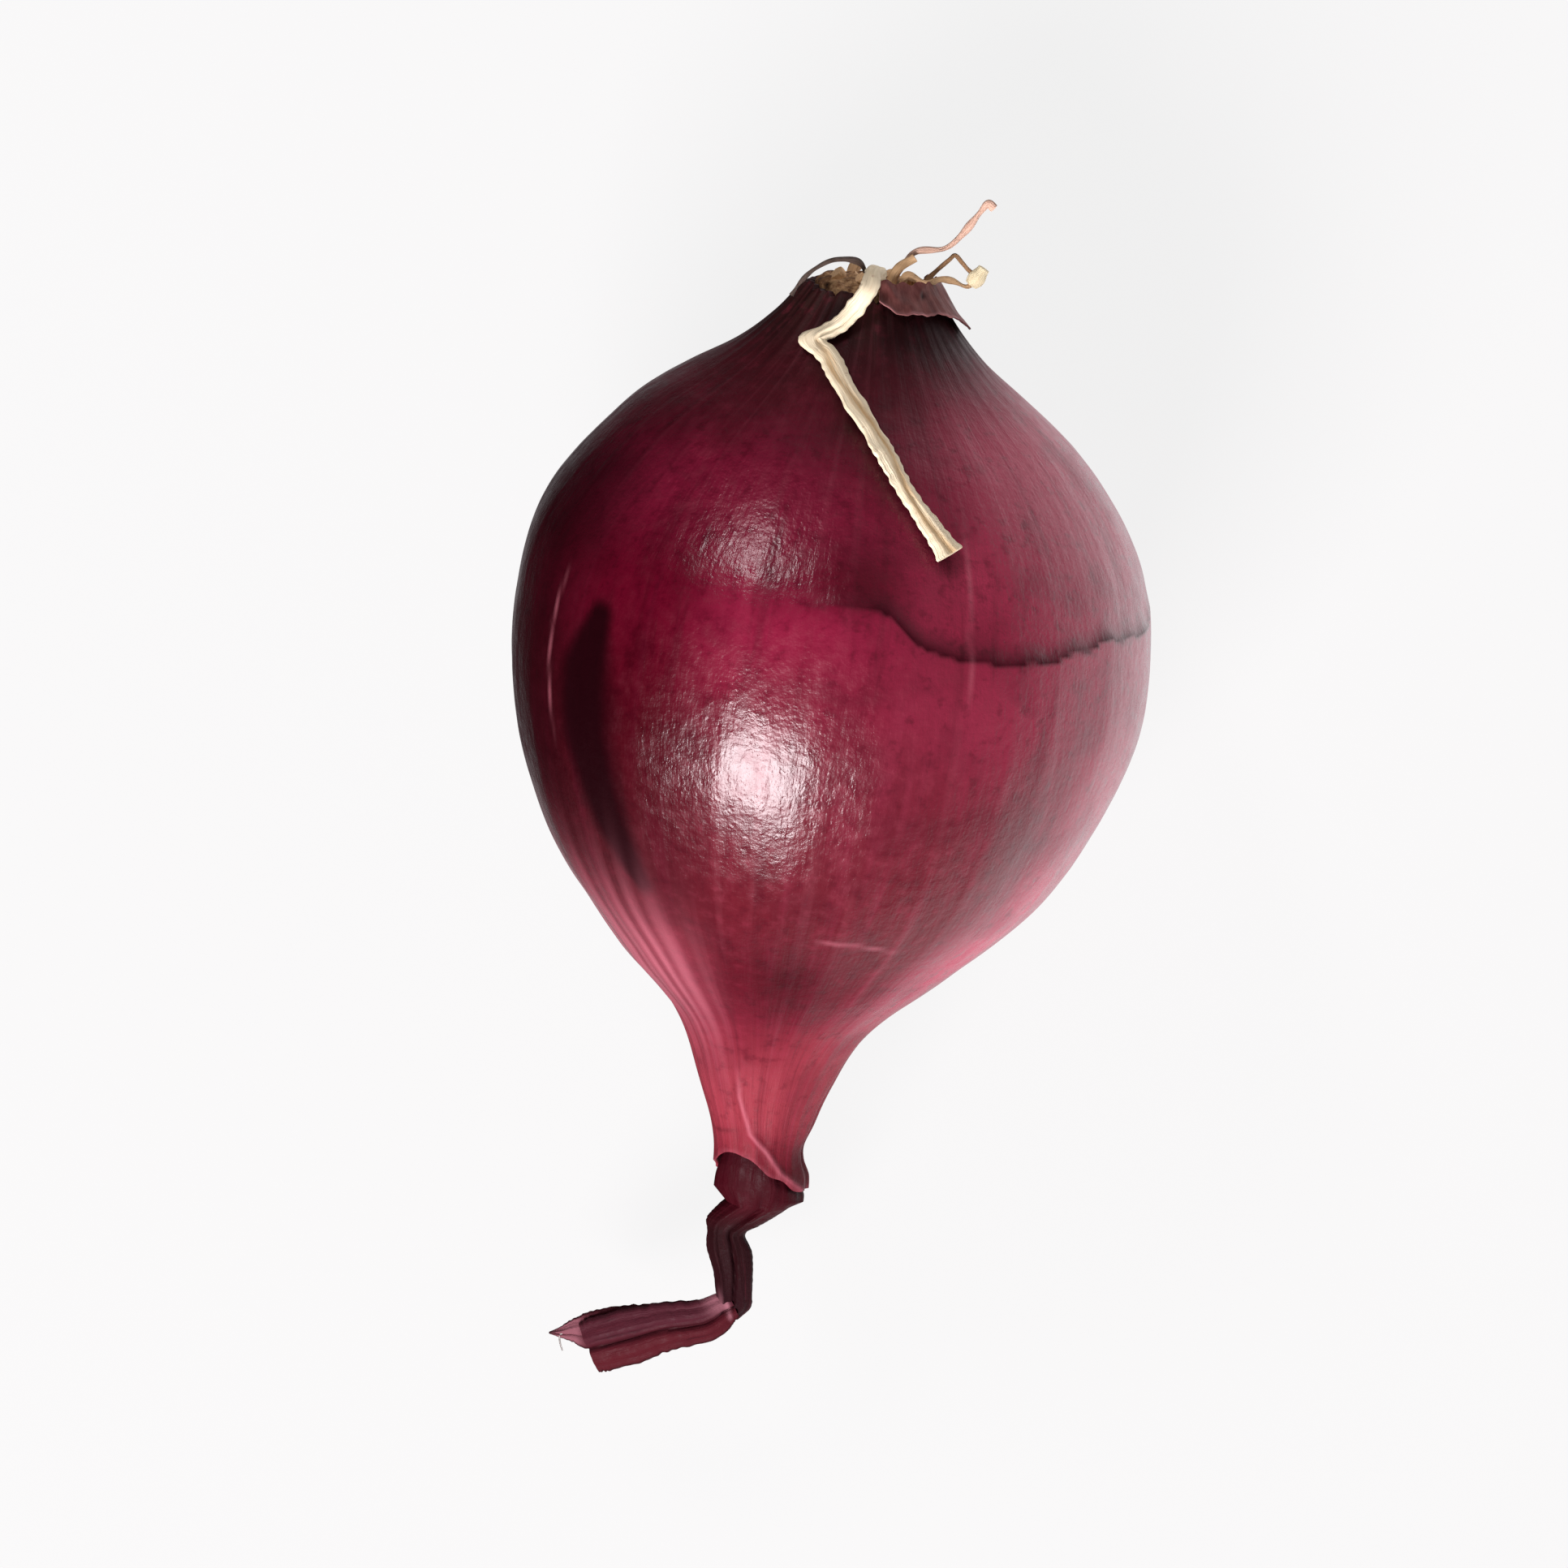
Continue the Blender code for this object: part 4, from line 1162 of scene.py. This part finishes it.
VIEW_TILT = math.radians(4.6)
VIEW_ROLL = math.radians(7.25)
VIEW_LENS = 300.0
VIEW_FRAME = 50.0 * MM
VIEW_CENTRE = Vector((-0.8, -4.6, 8.0)) * MM
FLOOR_HALF = 1.5
FLOOR_GREY = 0.06
FLOOR_GLOW = 0.85
LIGHT_AIM = Vector((0.0, 0.0, 0.01))
LIGHT_TINT = (1.0, 0.91, 0.94)
# Lights: place, width and height, power in watts
LIGHTS = {
    "key": ((-0.140, -0.360, 0.37), (0.26, 0.24), 6.0),
    "second": ((-0.195, 0.29, 0.313), (0.07, 0.13), 0.65),
}
WORLD_TINT = (1.0, 0.92, 0.95)
# Directions over which the studio changes: from left to right, from behind to ahead, and upward
WORLD_ACROSS = (-0.55, 0.85)
WORLD_AHEAD = (-0.30, -0.85)
WORLD_UP = (-0.40, 0.35)
WORLD_TURN = math.radians(2.0)
WORLD_LEFT = 0.02
WORLD_RIGHT = 1.85
WORLD_FRONT = 0.20
WORLD_OVERHEAD = 0.13


def make_camera():
    data = bpy.data.cameras.new("camera")
    data.sensor_width = 36.0
    data.sensor_fit = "HORIZONTAL"
    data.lens = VIEW_LENS
    data.clip_start = 0.01
    camera = add_object("camera", data)
    back = Vector((0.0, math.sin(VIEW_TILT), math.cos(VIEW_TILT)))
    flat_right = Vector((math.cos(VIEW_ROLL), math.sin(VIEW_ROLL), 0.0))
    right = (flat_right - back * flat_right.dot(back)).normalized()
    facing = Matrix((right, back.cross(right), back)).transposed().to_4x4()
    facing.translation = VIEW_CENTRE + back * (VIEW_FRAME * VIEW_LENS / data.sensor_width)
    camera.matrix_world = facing
    bpy.context.scene.camera = camera


def make_lights():
    """Soft oblong lights that face the onion."""
    for name, (spot, size, power) in LIGHTS.items():
        data = bpy.data.lights.new(name, "AREA")
        data.shape = "RECTANGLE"
        data.size, data.size_y = size
        data.energy = power
        data.color = LIGHT_TINT
        light = add_object(name, data)
        light.location = spot
        light.rotation_euler = (LIGHT_AIM - Vector(spot)).to_track_quat("-Z", "Y").to_euler()


def make_floor():
    """Pale table that glows, so that shadows on it stay faint, hidden from reflected light."""
    mesh = bpy.data.meshes.new("floor")
    signs = ((-1, -1), (1, -1), (1, 1), (-1, 1))
    mesh.from_pydata([(x * FLOOR_HALF, y * FLOOR_HALF, 0) for x, y in signs], [], [(0, 1, 2, 3)])
    floor = add_object("floor", mesh)
    finish = Finish("pale_floor", 0.9, 0.0)
    finish.shade("Base Color", opaque((FLOOR_GREY,) * 3))
    finish.shade("Emission Color", opaque((1.0, 1.0, 1.0)))
    finish.shade("Emission Strength", FLOOR_GLOW)
    mesh.materials.append(finish.material)
    floor.visible_glossy = False
    floor.visible_diffuse = False


def make_world():
    """Studio all round: dim overhead and on the far left, bright low down on the right and in front."""
    world = bpy.data.worlds.new("studio")
    world.use_nodes = True
    studio = Nodes(world.node_tree)
    spot = studio.add("TexCoord", {}).outputs["Generated"]
    parts = studio.add("SeparateXYZ", {0: spot}).outputs
    across = studio.maths("MULTIPLY", parts["X"], math.cos(WORLD_TURN))
    towards = studio.maths("MULTIPLY", parts["Y"], math.sin(WORLD_TURN))
    sideways = studio.maths("ADD", across, towards)
    right = studio.ranged(sideways, *WORLD_ACROSS, WORLD_LEFT, WORLD_RIGHT)
    front = studio.ranged(parts["Y"], *WORLD_AHEAD, 0.0, WORLD_FRONT)
    low = studio.ranged(parts["Z"], *WORLD_UP, 1.0, WORLD_OVERHEAD)
    sky = studio.tree.nodes["Background"].inputs
    studio.fill(sky["Color"], opaque(WORLD_TINT))
    studio.fill(sky["Strength"], studio.maths("MULTIPLY", studio.maths("MAXIMUM", right, front), low))
    bpy.context.scene.world = world


def settle(pieces, cad_node):
    """Pieces ride on the onion and stand for a solid, which is hidden."""
    for piece in pieces:
        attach(piece, "root")
        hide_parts(cad_node)


# Dried roots: pale, brown and dark colour, and for one of them the range in which its lanes brown
ROOT_COLOURS = {
    "pale": ((0.98, 0.88, 0.62), (0.76, 0.47, 0.18), (0.45, 0.22, 0.08), (0.57, 0.80)),
    "pink": ((0.72, 0.48, 0.36), (0.52, 0.28, 0.18), (0.30, 0.15, 0.10)),
    "golden": ((0.86, 0.58, 0.31), (0.46, 0.23, 0.09), (0.16, 0.07, 0.03)),
    "brown": ((0.46, 0.27, 0.13), (0.22, 0.11, 0.05), (0.09, 0.04, 0.02)),
    "dark": ((0.10, 0.07, 0.055), (0.05, 0.033, 0.026), (0.02, 0.012, 0.01)),
    "yellow": ((0.98, 0.89, 0.58), (0.92, 0.74, 0.36), (0.70, 0.46, 0.18)),
    "grey": ((0.55, 0.53, 0.50), (0.40, 0.37, 0.34), (0.25, 0.22, 0.20)),
}

make_camera()
make_floor()
make_world()
make_lights()
bpy.context.scene.view_settings.view_transform = "Standard"
looks = {look: root_material(f"{look}_root", *colours) for look, colours in ROOT_COLOURS.items()}
leaf = leaf_material()
settle([make_skin(skin_material())], "bulb")
roots = [make_plate(cork_material()), make_long_root(looks["pale"])]
roots += make_rootlets(looks) + make_stubs(looks["golden"])
settle(roots, "basal_plate_and_roots")
settle([make_scrap(scrap_material())], "torn_skin")
plies = [make_strap(leaf), make_front_ply(leaf), make_back_ply(leaf), make_fibre(looks["grey"])]
settle(plies, "withered_leaf")

bpy.context.view_layer.update()
